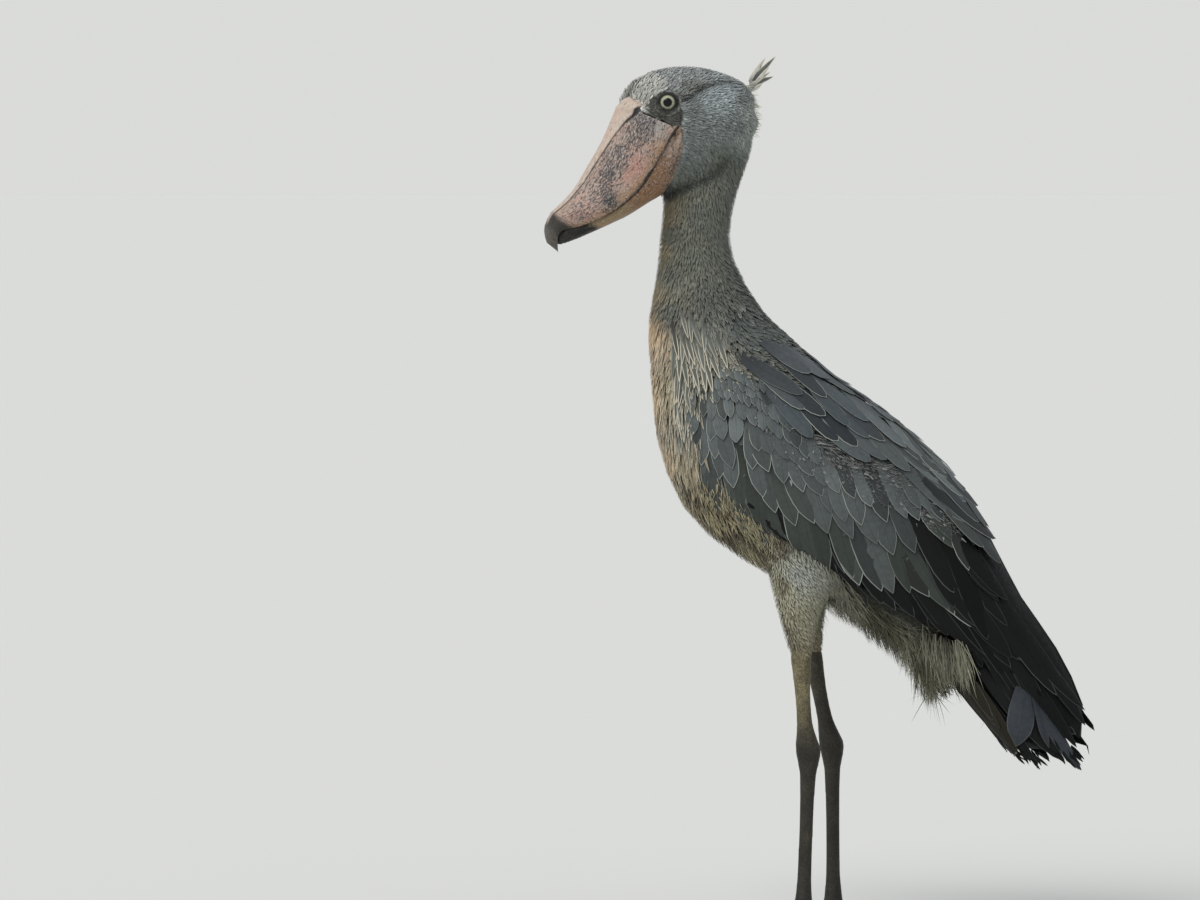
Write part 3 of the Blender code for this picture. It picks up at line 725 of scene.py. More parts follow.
# ---------------------------------------------------------------- skin finish
# Thin grey hide, seen bare round the eyes and on the scaly legs and toes.
def add_node(tree, kind, **settings):
    node = tree.nodes.new(kind)
    for key, value in settings.items():
        setattr(node, key, value)
    return node


def feed(tree, socket, value):
    """Links a socket, or sets its number, vector or colour."""
    if isinstance(value, bpy.types.NodeSocket):
        tree.links.new(value, socket)
    elif value is not None:
        socket.default_value = value


def calc(tree, operation, a, b=None, c=None, clamp=False):
    node = add_node(tree, "ShaderNodeMath", operation=operation, use_clamp=clamp)
    for socket, value in zip(node.inputs, (a, b, c)):
        feed(tree, socket, value)
    return node.outputs[0]


def times(tree, a, b):
    return calc(tree, "MULTIPLY", a, b)


def ramp(tree, value, low, high, to_low=0.0, to_high=1.0):
    """A smooth step from one value to another."""
    node = add_node(tree, "ShaderNodeMapRange", interpolation_type="SMOOTHSTEP")
    names = ("Value", "From Min", "From Max", "To Min", "To Max")
    for name, given in zip(names, (value, low, high, to_low, to_high)):
        feed(tree, node.inputs[name], given)
    return node.outputs[0]


def mixed(tree, share, a, b, blend="MIX"):
    node = add_node(tree, "ShaderNodeMix", data_type="RGBA", blend_type=blend)
    feed(tree, node.inputs["Factor"], share)
    feed(tree, node.inputs["A"], (*a, 1) if isinstance(a, tuple) and len(a) == 3 else a)
    feed(tree, node.inputs["B"], (*b, 1) if isinstance(b, tuple) and len(b) == 3 else b)
    return node.outputs["Result"]


def grain(tree, place, size, detail=3.0, roughness=0.55):
    """Noise with a grain of a size in metres, from 0 to 1."""
    node = add_node(tree, "ShaderNodeTexNoise")
    feed(tree, node.inputs["Vector"], place)
    node.inputs["Scale"].default_value = 1 / size
    node.inputs["Detail"].default_value = detail
    node.inputs["Roughness"].default_value = roughness
    return node.outputs["Fac"]


def scaled(tree, vector, factors):
    node = add_node(tree, "ShaderNodeVectorMath", operation="MULTIPLY")
    feed(tree, node.inputs[0], vector)
    node.inputs[1].default_value = factors
    return node.outputs[0]


def attribute(tree, name):
    return add_node(tree, "ShaderNodeAttribute", attribute_name=name)


def object_place(tree):
    return add_node(tree, "ShaderNodeTexCoord").outputs["Object"]


def new_material(name, roughness=0.6):
    material = bpy.data.materials.new(name)
    material.use_nodes = True
    tree = material.node_tree
    shader = tree.nodes["Principled BSDF"]
    shader.inputs["Roughness"].default_value = roughness
    return material, tree, shader


def bumped(tree, shader, height, strength, distance):
    bump = add_node(tree, "ShaderNodeBump")
    bump.inputs["Strength"].default_value = strength
    bump.inputs["Distance"].default_value = distance
    feed(tree, bump.inputs["Height"], height)
    tree.links.new(bump.outputs["Normal"], shader.inputs["Normal"])


def make_skin_material():
    material, tree, shader = new_material("bare_hide", 0.55)
    tone = attribute(tree, "tone")
    place = object_place(tree)
    plates = add_node(tree, "ShaderNodeTexVoronoi", feature="DISTANCE_TO_EDGE")
    feed(tree, plates.inputs["Vector"], scaled(tree, place, (1.0, 1.0, 0.8)))
    plates.inputs["Scale"].default_value = 1 / 0.0032
    cracks = ramp(tree, plates.outputs["Distance"], 0.02, 0.16)
    scaly = tone.outputs["Alpha"]
    between = calc(tree, "SUBTRACT", 1.0, cracks)
    crack_dark = times(tree, between, times(tree, scaly, 0.45))
    colour = mixed(tree, crack_dark, tone.outputs["Color"], (0.018, 0.016, 0.013))
    dust = ramp(tree, grain(tree, place, 0.02, 4.0), 0.35, 0.75, 0.75, 1.3)
    colour = mixed(tree, 1.0, colour, add_rgb(tree, dust), "MULTIPLY")
    mottle = ramp(tree, grain(tree, place, 0.0030, 3.0, 0.6), 0.36, 0.64, 0.55, 1.5)
    mottle = calc(tree, "SUBTRACT", mottle, 1.0)
    mottle = calc(tree, "MULTIPLY_ADD", mottle, ramp(tree, scaly, 0.0, 1.0, 1.0, 0.4), 1.0)
    colour = mixed(tree, 1.0, colour, add_rgb(tree, mottle), "MULTIPLY")
    tree.links.new(colour, shader.inputs["Base Color"])
    fine = grain(tree, place, 0.0012, 2.0)
    height = calc(tree, "ADD", times(tree, cracks, scaly), times(tree, fine, 0.35))
    bumped(tree, shader, height, 0.6, 0.0006)
    feed(tree, shader.inputs["Roughness"], ramp(tree, fine, 0.3, 0.7, 0.50, 0.68))
    shader.inputs["Specular IOR Level"].default_value = 0.3
    return material


def add_rgb(tree, value):
    """A grey of a value."""
    node = add_node(tree, "ShaderNodeCombineColor")
    for channel in ("Red", "Green", "Blue"):
        tree.links.new(value, node.inputs[channel])
    return node.outputs[0]


def store(mesh, name, values, kind="FLOAT_COLOR", field="color"):
    layer = mesh.attributes.new(name, kind, "POINT")
    layer.data.foreach_set(field, np.asarray(values, np.float32).ravel())


def region_share(*names):
    """1 on the skin of some regions, 0 on the rest."""
    wanted = [region_names.index(name) for name in names]
    return np.isin(skin_regions, wanted).astype(float)


UNDER_COAT = 0.85
skin_normals = vertex_normals(skin.data)
skin_tone = tone_at(skin_points) * UNDER_COAT
bare = averaged(skin.data, region_share("bare"), 10)
# Painted shade: the far leg is darkened as if in the body's shadow. Both legs also darken towards the feet,
# with a soft random patchiness.
shaded_far_leg = skin_points[:, 1] > 0
darker = 0.9 * shaded_far_leg + smooth_step(0.285, 0.215, skin_points[:, 2])
darker = darker + 0.14 * wobble(skin_points, 0.03, 1.0, 2)
leg_change = np.array(PALETTE["leg_dark"]) - PALETTE["leg"]
leg_tone = np.array(PALETTE["leg"]) + leg_change * np.clip(darker, 0, 1)[:, None]
skin_tone = blended(skin_tone, leg_tone, bare)
winged = averaged(skin.data, region_share("wing"), 6) + under_wing
skin_tone = blended(skin_tone, PALETTE["slate_low"], winged)
wing_edge = np.interp(side_view(skin_points)[:, 0], (-0.1, 0.05, 0.2), (0.50, 0.45, 0.39))
low_wing = step_mm(8, -8, skin_points[:, 2] - wing_edge)
skin_tone = blended(skin_tone, PALETTE["black"], winged * low_wing)
# Painted shade and light on the face's wrinkles: the bare hide is darker in their grooves and paler on their
# ridges, besides a random mottle.
wrinkle_shade_and_mottle = 1 + 0.75 * wrinkle + 0.35 * wobble(skin_points, 0.0035, 2.2, 2) * (eye_gap > 15 * MM)
below = step_mm(8, 20, EYE[2] - skin_head[:, 2])
below = below * step_mm(-166, -176, skin_head[:, 0])
hide = np.array(PALETTE["lores"]) * (1 + 0.35 * below[:, None]) * wrinkle_shade_and_mottle.clip(0.3, 2.2)[:, None]
skin_tone = blended(skin_tone, hide, face)
gape = step_mm(-0.5, 1, inside(skin_head[:, [0, 2]], GAPE_PLATE)) * (skin_regions == 0)
skin_tone = blended(skin_tone, PALETTE["gape"], gape * (np.abs(skin_head[:, 1]) > 12 * MM))
# Painted highlight: a pale crescent on the fold behind and below each eye.
rear = step_mm(-4, 8, skin_head[:, 0] - EYE[0] - (skin_head[:, 2] - EYE[2]) * 0.6)
pale = 0.7 * bell(eye_gap - 16.6 * MM, 0.8 * MM) * rear * near_eye
skin_tone = blended(skin_tone, PALETTE["lid_fold_highlight"], pale)
rim = step_mm(13.2, 12.2, eye_gap) * near_eye
skin_tone = blended(skin_tone, PALETTE["lid_dark"], rim)
store(skin.data, "tone", np.concatenate([skin_tone, bare[:, None]], axis=1))
skin.data.materials.append(make_skin_material())
skin.data.shade_smooth()
only(skin)
bpy.ops.object.mode_set(mode="EDIT")
bpy.ops.mesh.select_all(action="SELECT")
bpy.ops.uv.smart_project(angle_limit=math.radians(72), island_margin=0.001)
bpy.ops.object.mode_set(mode="OBJECT")
skin.data.uv_layers[0].name = "OFBake"
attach(skin, "root")
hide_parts(*flesh_nodes)

# ---------------------------------------------------------------- head and body coats
# Small feathers over the whole bird: hair-like on the head and neck, long and pointed on the
# breast, broad on the mantle, loose under the tail. Each grows from the skin and lies on the next.
corner_skin = read(skin.data.loops, "vertex_index", 1, np.int32)[:, 0]
skin_uv = np.zeros((len(skin_points), 2))
skin_uv[corner_skin] = read(skin.data.uv_layers["OFBake"].data, "uv", 2)
skin.data.calc_loop_triangles()
skin_triangles = read(skin.data.loop_triangles, "vertices", 3, np.int32)
triangle_corners = skin_points[skin_triangles]
first_corner, second_corner, third_corner = triangle_corners.transpose(1, 0, 2)
triangle_sides = second_corner - first_corner, third_corner - first_corner
triangle_area = np.linalg.norm(np.cross(*triangle_sides), axis=1) / 2

PATCH = 0.003


class Surface:
    """A smooth outer surface that feathers are laid on."""

    def __init__(self, obj, points):
        self.points = points
        self.normals = vertex_normals(obj.data)
        self.tree = tree_of(points)
        self.bvh = BVHTree.FromPolygons(points.tolist(), [tuple(face.vertices) for face in obj.data.polygons])
        bpy.data.objects.remove(obj)

    def at(self, places):
        """The surface's nearest points and outward normals."""
        found = nearest(self.tree, places)
        normals = self.normals[found]
        off = ((places - self.points[found]) * normals).sum(axis=1, keepdims=True)
        return places - normals * off, normals

    def from_side(self, flat, side):
        """Side-view places carried onto the outer surface of one side."""
        points = []
        for x, z in flat.tolist():
            hit = self.bvh.ray_cast(Vector((x + ORIGIN_X, side * 0.4, z)), Vector((0, -side, 0)))[0]
            if hit is None or hit.y * side < 0:
                hit, facing, _, _ = self.bvh.find_nearest(Vector((x + ORIGIN_X, side * 0.012, z)))
                if facing.z < 0.15:
                    hit = Vector((x + ORIGIN_X, hit.y, z))
            points.append(tuple(hit))
        return np.array(points)


plumage = Surface(hull, hull_points)
wing_surface = Surface(folded, folded_points - vertex_normals(folded.data) * SEAL)


def scatter(share, spacing, seed):
    """Roots on the skin about a spacing apart, on the vertices' share of it: points and skin vertices."""
    rng = np.random.default_rng(seed)
    weight = triangle_area * share[skin_triangles].mean(axis=1)
    count = int(4 * weight.sum() / spacing ** 2)
    picked = rng.choice(len(weight), count, p=weight / weight.sum())
    u, v = np.sqrt(rng.random(count)), rng.random(count)
    bary = np.stack([1 - u, u * (1 - v), u * v], axis=1)
    points = (triangle_corners[picked] * bary[:, :, None]).sum(axis=1)
    vertices = skin_triangles[picked, bary.argmax(axis=1)]
    cells = {}
    kept = []
    steps = [(i, j, k) for i in (-1, 0, 1) for j in (-1, 0, 1) for k in (-1, 0, 1)]
    for index, (x, y, z) in enumerate(points.tolist()):
        cell = (int(x // spacing), int(y // spacing), int(z // spacing))
        near = False
        for i, j, k in steps:
            other = cells.get((cell[0] + i, cell[1] + j, cell[2] + k))
            if other is not None:
                ox, oy, oz = other
                if (x - ox) ** 2 + (y - oy) ** 2 + (z - oz) ** 2 < spacing * spacing:
                    near = True
                    break
        if not near and cell not in cells:
            cells[cell] = (x, y, z)
            kept.append(index)
    return points[kept], vertices[kept]


# Outlines: shares of the length, and the half width there as a share of the widest
OUTLINES = {
    "hair": ((0, 0.45, 0.8, 1), (0.8, 1.0, 0.62)),
    "scale": ((0, 0.4, 0.75, 0.93, 1), (0.55, 0.95, 0.95, 0.55)),
    "lance": ((0, 0.25, 0.5, 0.75, 0.92, 1), (0.5, 0.85, 1.0, 0.75, 0.36)),
    "plume": ((0, 0.2, 0.4, 0.6, 0.8, 1), (1.0, 1.0, 0.9, 0.75, 0.5)),
    "covert": ((0, 0.25, 0.48, 0.66, 0.79, 0.89, 0.96, 1), (0.55, 0.85, 1.0, 0.97, 0.82, 0.50, 0.21)),
    "quill": ((0, 0.2, 0.4, 0.6, 0.78, 0.9, 0.97, 1), (0.5, 0.85, 1.0, 1.0, 0.86, 0.56, 0.25)),
    "broad": ((0, 0.25, 0.5, 0.7, 0.85, 0.95, 1), (0.5, 0.85, 1.0, 0.97, 0.80, 0.46)),
}
RINGS = {
    "blade": ((-1, 0, 1), (0, 1, 0)),
    "vane": ((-1, -0.5, 0, 0.5, 1, 0.5, 0, -0.5), (0, 0.6, 1, 0.6, 0, -0.5, -0.7, -0.5)),
}


class Coat:
    """Feathers gathered for one piece."""

    def __init__(self):
        self.points, self.corners, self.sizes = [], [], []
        self.tone, self.vane, self.share, self.uv = [], [], [], []
        self.count = 0

    def add(self, points, outline, ring, tone, widths, lengths, uv, rim=0.3):
        """points: feathers x (stations * ring + tip) x 3."""
        shares, profile = outline
        across = np.array(ring[0], float)
        rise = np.array(ring[1], float)
        stations, around = len(profile), len(across)
        n, per = points.shape[0], stations * around + 1
        quads, tris = [], []
        for j in range(stations - 1):
            for k in range(around):
                k1 = (k + 1) % around
                quads.append((j * around + k, (j + 1) * around + k, (j + 1) * around + k1, j * around + k1))
        for k in range(around):
            tris.append(((stations - 1) * around + k, per - 1, (stations - 1) * around + (k + 1) % around))
        for k in range(1, around - 1):
            tris.append((0, k, k + 1))
        pattern = np.array([i for face in quads + tris for i in face])
        sizes = np.array([4] * len(quads) + [3] * len(tris))
        starts = self.count + np.arange(n) * per
        self.corners.append((starts[:, None] + pattern[None]).ravel())
        self.sizes.append(np.tile(sizes, n))
        self.points.append(points.reshape(-1, 3))
        along = np.append(np.repeat(shares[:-1], around), 1.0)
        side = np.append(np.tile(across, stations), 0.0)
        high = np.append(np.tile(rise, stations), 0.0)
        half = np.append(np.repeat(profile, around), 0.0)
        edge = np.minimum((1 - np.abs(side)) * half * widths[:, None], (1 - along) * lengths[:, None] * 0.7)
        edge = edge / (rim * widths[:, None])
        place = (side * half)[None] * widths[:, None] / MM, along[None] * lengths[:, None] / MM
        self.vane.append(np.stack([*place, edge], axis=2).reshape(-1, 3))
        self.share.append(np.tile(along, n))
        self.tone.append(np.repeat(tone, per, axis=0))
        if uv.shape[1] == 2:
            patch = np.stack([side * PATCH / 2, (along - 0.5) * PATCH + high * PATCH * 0.06], axis=1)
            self.uv.append((uv[:, None] + patch[None]).reshape(-1, 2))
        else:
            cell = uv[:, 2:3]
            u = uv[:, 0:1] + cell * (0.5 + 0.44 * side * np.maximum(half, 0.05) + 0.01 * high)[None]
            v = uv[:, 1:2] + cell * (0.03 + 0.94 * along + 0.01 * high)[None]
            self.uv.append(np.stack([u, v], axis=2).reshape(-1, 2))
        self.count += n * per

    def core(self, node, shrink, kept, colour):
        """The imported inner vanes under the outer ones: a node's own form, a little smaller and shorter."""
        made = node_copy(node, -shrink)
        mesh = made.data
        mesh.calc_loop_triangles()
        points = coordinates(mesh)
        top = points[points[:, 2] > points[:, 2].max() - 20 * MM].mean(axis=0)
        points = top + (points - top) * kept
        corners = np.array([i for tri in mesh.loop_triangles for i in tri.vertices])
        bpy.data.objects.remove(made)
        n = len(points)
        self.corners.append(corners + self.count)
        self.sizes.append(np.full(len(corners) // 3, 3))
        self.points.append(points)
        self.tone.append(np.tile((*PALETTE[colour], 0.0), (n, 1)))
        self.vane.append(np.stack([points[:, 1] / MM, points[:, 2] / MM, np.full(n, 9.0)], axis=1))
        self.share.append(np.ones(n))
        spread = (points[:, [0, 2]] - points[:, [0, 2]].min(axis=0)) / np.ptp(points[:, [0, 2]], axis=0).max()
        self.uv.append(spread * 0.01)
        self.count += n

    def piece(self, name, material, replaced=()):
        points = np.concatenate(self.points)
        corners = np.concatenate(self.corners).astype(np.int32)
        sizes = np.concatenate(self.sizes)
        mesh = bpy.data.meshes.new(name)
        mesh.vertices.add(len(points))
        mesh.vertices.foreach_set("co", points.astype(np.float32).ravel())
        mesh.loops.add(len(corners))
        mesh.loops.foreach_set("vertex_index", corners)
        mesh.polygons.add(len(sizes))
        mesh.polygons.foreach_set("loop_start", np.concatenate([[0], np.cumsum(sizes)[:-1]]).astype(np.int32))
        mesh.update(calc_edges=True)
        store(mesh, "tone", np.concatenate(self.tone))
        store(mesh, "vane", np.concatenate(self.vane), "FLOAT_VECTOR", "vector")
        store(mesh, "share", np.concatenate(self.share), "FLOAT", "value")
        layer = mesh.uv_layers.new(name="OFBake")
        layer.data.foreach_set("uv", np.concatenate(self.uv)[corners].astype(np.float32).ravel())
        mesh.materials.append(material)
        mesh.shade_smooth()
        mesh.set_sharp_from_angle(angle=math.radians(70))
        made = bpy.data.objects.new(name, mesh)
        bpy.context.scene.collection.objects.link(made)
        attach(made, "root")
        if replaced:
            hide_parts(*replaced)


STEEPEST = 0.6


def hung(surface, tips, ways, lengths, shares, side):
    """Centre lines that run straight up from each tip in the side view, over one side of the surface."""
    places = tips[:, None] - ways[:, None] * (lengths[:, None] * (1 - np.array(shares)))[..., None]
    flat = places[:, :, [0, 2]] - (ORIGIN_X, 0)
    line = surface.from_side(flat.reshape(-1, 2), side).reshape(places.shape)
    for j in range(1, len(shares)):
        most = STEEPEST * lengths * (shares[j] - shares[j - 1])
        line[:, j, 1] = np.clip(line[:, j, 1], line[:, j - 1, 1] - most, line[:, j - 1, 1] + most)
    way = unit(np.gradient(line, axis=1))
    _, normals = surface.at(line.reshape(-1, 3))
    normals = normals.reshape(line.shape)
    steep = np.abs((normals * way).sum(axis=2, keepdims=True)) > 0.55
    normals = np.where(steep | (normals[..., 1:2] * side < -0.1), (0.0, side, 0.0), normals)
    return line, unit(normals - way * (normals * way).sum(axis=2, keepdims=True)), way


def lay_along(surface, roots, ways, lengths, shares):
    """Centre lines that follow the plumage's surface from each root: points, normals and ways."""
    point, normal = surface.at(roots)
    way = unit(ways - normal * (ways * normal).sum(axis=1, keepdims=True))
    line = [(point, normal, way)]
    for before, after in zip(shares[:-1], shares[1:]):
        guess = point + way * (lengths * (after - before))[:, None]
        found, facing = surface.at(guess)
        sharp = ((facing * normal).sum(axis=1) < 0.75) | (np.linalg.norm(found - guess, axis=1) > 12 * MM)
        sharp = sharp[:, None]
        point = np.where(sharp, guess, found)
        normal = np.where(sharp, normal, facing)
        way = unit(way - normal * (way * normal).sum(axis=1, keepdims=True))
        line.append((point, normal, way))
    return [np.stack(part, axis=1) for part in zip(*line)]


def grow(coat, roots, ways, lengths, widths, outline, ring, tone, uv, sink, lift, rng, curl=0.0, sway=0.0,
         droop=0.0, thick=0.35, cup=0.0, tilt=None, from_tips=0, surface=plumage, rim=0.3):
    """Feathers of one outline. sink is how far the root lies under the plumage's surface, and from_tips is
    the side of those that hang from rows of tips and follow the surface across their width too."""
    shares, profile = OUTLINES[outline]
    across, rise = (np.array(part, float) for part in RINGS[ring])
    if from_tips:
        line, normals, way = hung(surface, roots, ways, lengths, shares, from_tips)
    else:
        line, normals, way = lay_along(surface, roots, ways, lengths, shares)
    n = len(roots)
    t = np.array(shares, float)[None]
    lift = np.broadcast_to(lift, n)[:, None]
    side = np.cross(normals, way)
    raised = -np.broadcast_to(sink, n)[:, None] * (1 - t) + lift * t + curl * lengths[:, None] * t ** 3
    bend = rng.normal(0, sway, (n, 1)) * lengths[:, None] * t ** 2
    centre = line + normals * raised[:, :, None] + side * bend[:, :, None]
    centre[:, :, 2] -= droop * lengths[:, None] * t ** 2
    half = np.array(profile)[None] * widths[:, None]
    spread = half[:, :, None] * across[None, None]
    body = centre[:, :-1, None] + side[:, :-1, None] * spread[..., None]
    facing = np.repeat(normals[:, :-1, None], len(across), axis=2)
    if from_tips:
        flatp = (line[:, :-1, None] + side[:, :-1, None] * spread[..., None]).reshape(-1, 3)
        found, turned = surface.at(flatp)
        ok = (turned * facing.reshape(-1, 3)).sum(axis=1) > 0.6
        ok = (ok & (np.linalg.norm(found - flatp, axis=1) < 10 * MM))[:, None]
        onto = np.where(ok, found, flatp).reshape(body.shape)
        facing = np.where(ok, turned, facing.reshape(-1, 3)).reshape(body.shape)
        body = onto + facing * raised[:, :-1, None, None] + side[:, :-1, None] * bend[:, :-1, None, None]
    if ring == "blade":
        off = thick * half[:, :, None] * rise
    else:
        off = thick * MM * rise * np.ones_like(half)[:, :, None]
    off = off - cup * half[:, :, None] * across ** 2
    if tilt is not None:
        off = off + tilt[:, None, None] * across * np.array(profile)[None, :, None]
    body = body + facing * off[..., None]
    points = np.concatenate([body.reshape(n, -1, 3), centre[:, -1:]], axis=1)
    coat.add(points, OUTLINES[outline], RINGS[ring], tone, widths, lengths, uv, rim)


SEEN_FROM = (0.0, -1.0, 0.0)


def stand(coat, roots, tips, bow, widths, outline, tone, uv, thick=0.3, rim=0.3):
    """Loose feathers from root to tip, bowed to one side, that lie on nothing and face sideways."""
    shares, profile = OUTLINES[outline]
    across, rise = (np.array(part, float) for part in RINGS["blade"])
    t = np.array(shares, float)[None, :, None]
    span = tips - roots
    side = unit(np.cross(np.broadcast_to(SEEN_FROM, span.shape), span))
    out = unit(np.cross(span, side))
    centre = roots[:, None] + span[:, None] * t + bow[:, None] * 4 * t * (1 - t)
    half = np.array(profile)[None] * widths[:, None]
    body = centre[:, :-1, None] + side[:, None, None] * (half[:, :, None] * across)[..., None]
    body = body + out[:, None, None] * (thick * half[:, :, None] * rise)[..., None]
    points = np.concatenate([body.reshape(len(roots), -1, 3), centre[:, -1:]], axis=1)
    coat.add(points, OUTLINES[outline], RINGS["blade"], tone, widths, np.linalg.norm(span, axis=1), uv, rim)


def make_feather_group():
    """Vane colour, dark shaft, fine barbs, pale edge and painted shade towards the root, shared by every
    feather.
    """
    group = bpy.data.node_groups.new("feather_vane", "ShaderNodeTree")
    for name, kind in (
        ("Tone", "NodeSocketColor"), ("Fringe", "NodeSocketFloat"), ("Vane", "NodeSocketVector"),
        ("Share", "NodeSocketFloat"), ("Place", "NodeSocketVector"), ("Fringe Colour", "NodeSocketColor"),
        ("Barb Size", "NodeSocketFloat"), ("Root Shade", "NodeSocketFloat"),
    ):
        group.interface.new_socket(name, in_out="INPUT", socket_type=kind)
    for name, kind in (
        ("Color", "NodeSocketColor"), ("Roughness", "NodeSocketFloat"), ("Height", "NodeSocketFloat"),
    ):
        group.interface.new_socket(name, in_out="OUTPUT", socket_type=kind)
    given = group.nodes.new("NodeGroupInput").outputs
    made = group.nodes.new("NodeGroupOutput").inputs
    parts = add_node(group, "ShaderNodeSeparateXYZ")
    group.links.new(given["Vane"], parts.inputs[0])
    across, along, edge = parts.outputs
    off_shaft = calc(group, "ABSOLUTE", across)
    barb_place = calc(group, "SUBTRACT", along, off_shaft)
    turns = calc(group, "DIVIDE", barb_place, given["Barb Size"])
    wave = calc(group, "SINE", times(group, turns, 6.2832))
    patchy = grain(group, given["Place"], 0.006, 3.0)
    barbs = times(group, wave, ramp(group, patchy, 0.3, 0.7, 0.3, 1.0))
    shade = calc(group, "MULTIPLY_ADD", barbs, 0.10, 1.0)
    shade = times(group, shade, ramp(group, patchy, 0.3, 0.7, 0.88, 1.12))
    shade = times(group, shade, ramp(group, off_shaft, 0.15, 0.55, 0.72, 1.0))
    # Painted shade: each feather is darker towards its root, where the one above covers it.
    root = ramp(group, given["Share"], 0.0, 0.55, 0.0, 1.0)
    rooted = calc(group, "MULTIPLY_ADD", calc(group, "SUBTRACT", 1.0, root), given["Root Shade"], root)
    shade = times(group, shade, rooted)
    colour = mixed(group, 1.0, given["Tone"], add_rgb(group, shade), "MULTIPLY")
    band = calc(group, "SUBTRACT", 1.0, ramp(group, edge, 0.35, 1.0))
    band = times(group, band, ramp(group, given["Share"], 0.2, 0.6))
    band = calc(group, "MULTIPLY", band, given["Fringe"], clamp=True)
    colour = mixed(group, band, colour, given["Fringe Colour"])
    group.links.new(colour, made["Color"])
    group.links.new(ramp(group, patchy, 0.3, 0.7, 0.55, 0.75), made["Roughness"])
    ridge = ramp(group, off_shaft, 0.0, 0.6, 1.0, 0.0)
    group.links.new(calc(group, "MULTIPLY_ADD", barbs, 0.25, ridge), made["Height"])
    return group


feather_group = make_feather_group()


def make_feather_material(name, fringe, barb_size, root_shade, sheen, bump):
    material, tree, shader = new_material(name)
    node = add_node(tree, "ShaderNodeGroup", node_tree=feather_group)
    tone = attribute(tree, "tone")
    feed(tree, node.inputs["Tone"], tone.outputs["Color"])
    feed(tree, node.inputs["Fringe"], tone.outputs["Alpha"])
    feed(tree, node.inputs["Vane"], attribute(tree, "vane").outputs["Vector"])
    feed(tree, node.inputs["Share"], attribute(tree, "share").outputs["Fac"])
    feed(tree, node.inputs["Place"], object_place(tree))
    node.inputs["Fringe Colour"].default_value = (*fringe, 1)
    node.inputs["Barb Size"].default_value = barb_size
    node.inputs["Root Shade"].default_value = root_shade
    tree.links.new(node.outputs["Color"], shader.inputs["Base Color"])
    tree.links.new(node.outputs["Roughness"], shader.inputs["Roughness"])
    shader.inputs["Specular IOR Level"].default_value = 0.25
    shader.inputs["Sheen Weight"].default_value = sheen
    shader.inputs["Sheen Roughness"].default_value = 0.5
    bumped(tree, shader, node.outputs["Height"], bump, 0.0002)
    return material


down_material = make_feather_material("down_plumage", (0.42, 0.43, 0.40), 0.9, 0.72, 0.12, 0.3)
body_material = make_feather_material("body_plumage", (0.60, 0.56, 0.46), 0.9, 0.6, 0.08, 0.4)
wing_material = make_feather_material("wing_plumage", (0.36, 0.385, 0.35), 1.1, 0.7, 0.03, 0.6)
quill_material = make_feather_material("quill_plumage", (0.10, 0.115, 0.112), 1.2, 0.8, 0.0, 0.6)
quill_material.node_tree.nodes["Principled BSDF"].inputs["Specular IOR Level"].default_value = 0.16


def nearest_uv(points):
    """The unwrapped places of the skin's nearest corners."""
    return np.array([skin_uv[((skin_points - point) ** 2).sum(axis=1).argmin()] for point in points])


ROOT_SINK = 0.8 * MM


def fluff(coat, share, spacing, seed, length, width, outline="hair", fringe=0.0, spread=0.12, lift=0.4,
          curl=0.0, sway=0.06, droop=0.0, thick=0.3, tone_change=0.10, shade=1.0, strong=1.0, colour=None,
          deepest=24, facing_least=0.15):
    """Scatters one kind of small feather over a share of the skin."""
    rng = np.random.default_rng(seed + 1000)
    roots, vertices = scatter(share, spacing, seed)
    outer, facing = plumage.at(roots)
    sink = ((outer - roots) * facing).sum(axis=1)
    kept = (sink < deepest * MM) & ((facing * skin_normals[vertices]).sum(axis=1) > facing_least)
    roots, vertices, sink = roots[kept], vertices[kept], np.clip(sink[kept], 0, 0.03) + ROOT_SINK
    n = len(roots)
    normals = skin_normals[vertices]
    ways = lie_at(roots, normals)
    turned = np.cross(normals, ways)
    angle = rng.normal(0, spread, (n, 1))
    ways = unit(ways * np.cos(angle) + turned * np.sin(angle))
    lengths = length(roots) if callable(length) else np.full(n, length * MM)
    widths = width(roots) if callable(width) else np.full(n, width * MM)
    lengths = lengths * rng.uniform(0.8, 1.2, n)
    widths = widths * rng.uniform(0.85, 1.15, n)
    tone = tone_at(roots) if colour is None else np.tile(PALETTE[colour], (n, 1))
    tone = tone * (shade * (1 + rng.normal(0, tone_change, (n, 1))))
    edge = fringe(roots) if callable(fringe) else np.full(n, fringe)
    edge = edge * np.where(rng.random(n) < strong, rng.uniform(0.7, 1.2, n), rng.uniform(0.1, 0.35, n))
    tone = np.concatenate([np.clip(tone, 0.004, 1), edge[:, None]], axis=1)
    lifts = rng.normal(lift, 0.25 * min(abs(lift), 2) + 0.15, n) * MM
    grow(coat, roots, ways, lengths, widths, outline, "blade", tone, skin_uv[vertices], sink, lifts, rng,
         curl, sway, droop, thick)


skin_flat = side_view(skin_points)
head_share_now = on_head_share(skin_points)
hairy = (1 - smooth_step(0.25, 0.75, face)) * (bill_gap > 2.2 * MM) * (in_tongue(skin_head) > 1.0)
hairy *= inside(skin_head[:, [0, 2]], GAPE_PLATE) < 0.5 * MM
above_crease = skin_head[:, 2] > crease_height(skin_head[:, 0]) + 1 * MM

cap = head_share_now * hairy * above_crease
cheeks = head_share_now * hairy * ~above_crease
coat = Coat()
fluff(coat, cap, 1.9 * MM, 11, 8.5, 1.2, "scale", fringe=0.6, spread=0.18, tone_change=0.26, strong=0.5)
coat.piece("crown_feathers", down_material)
coat = Coat()
fluff(coat, cheeks, 1.6 * MM, 12, 6.5, 0.8, spread=0.2, tone_change=0.2)
coat.piece("cheek_feathers", down_material)


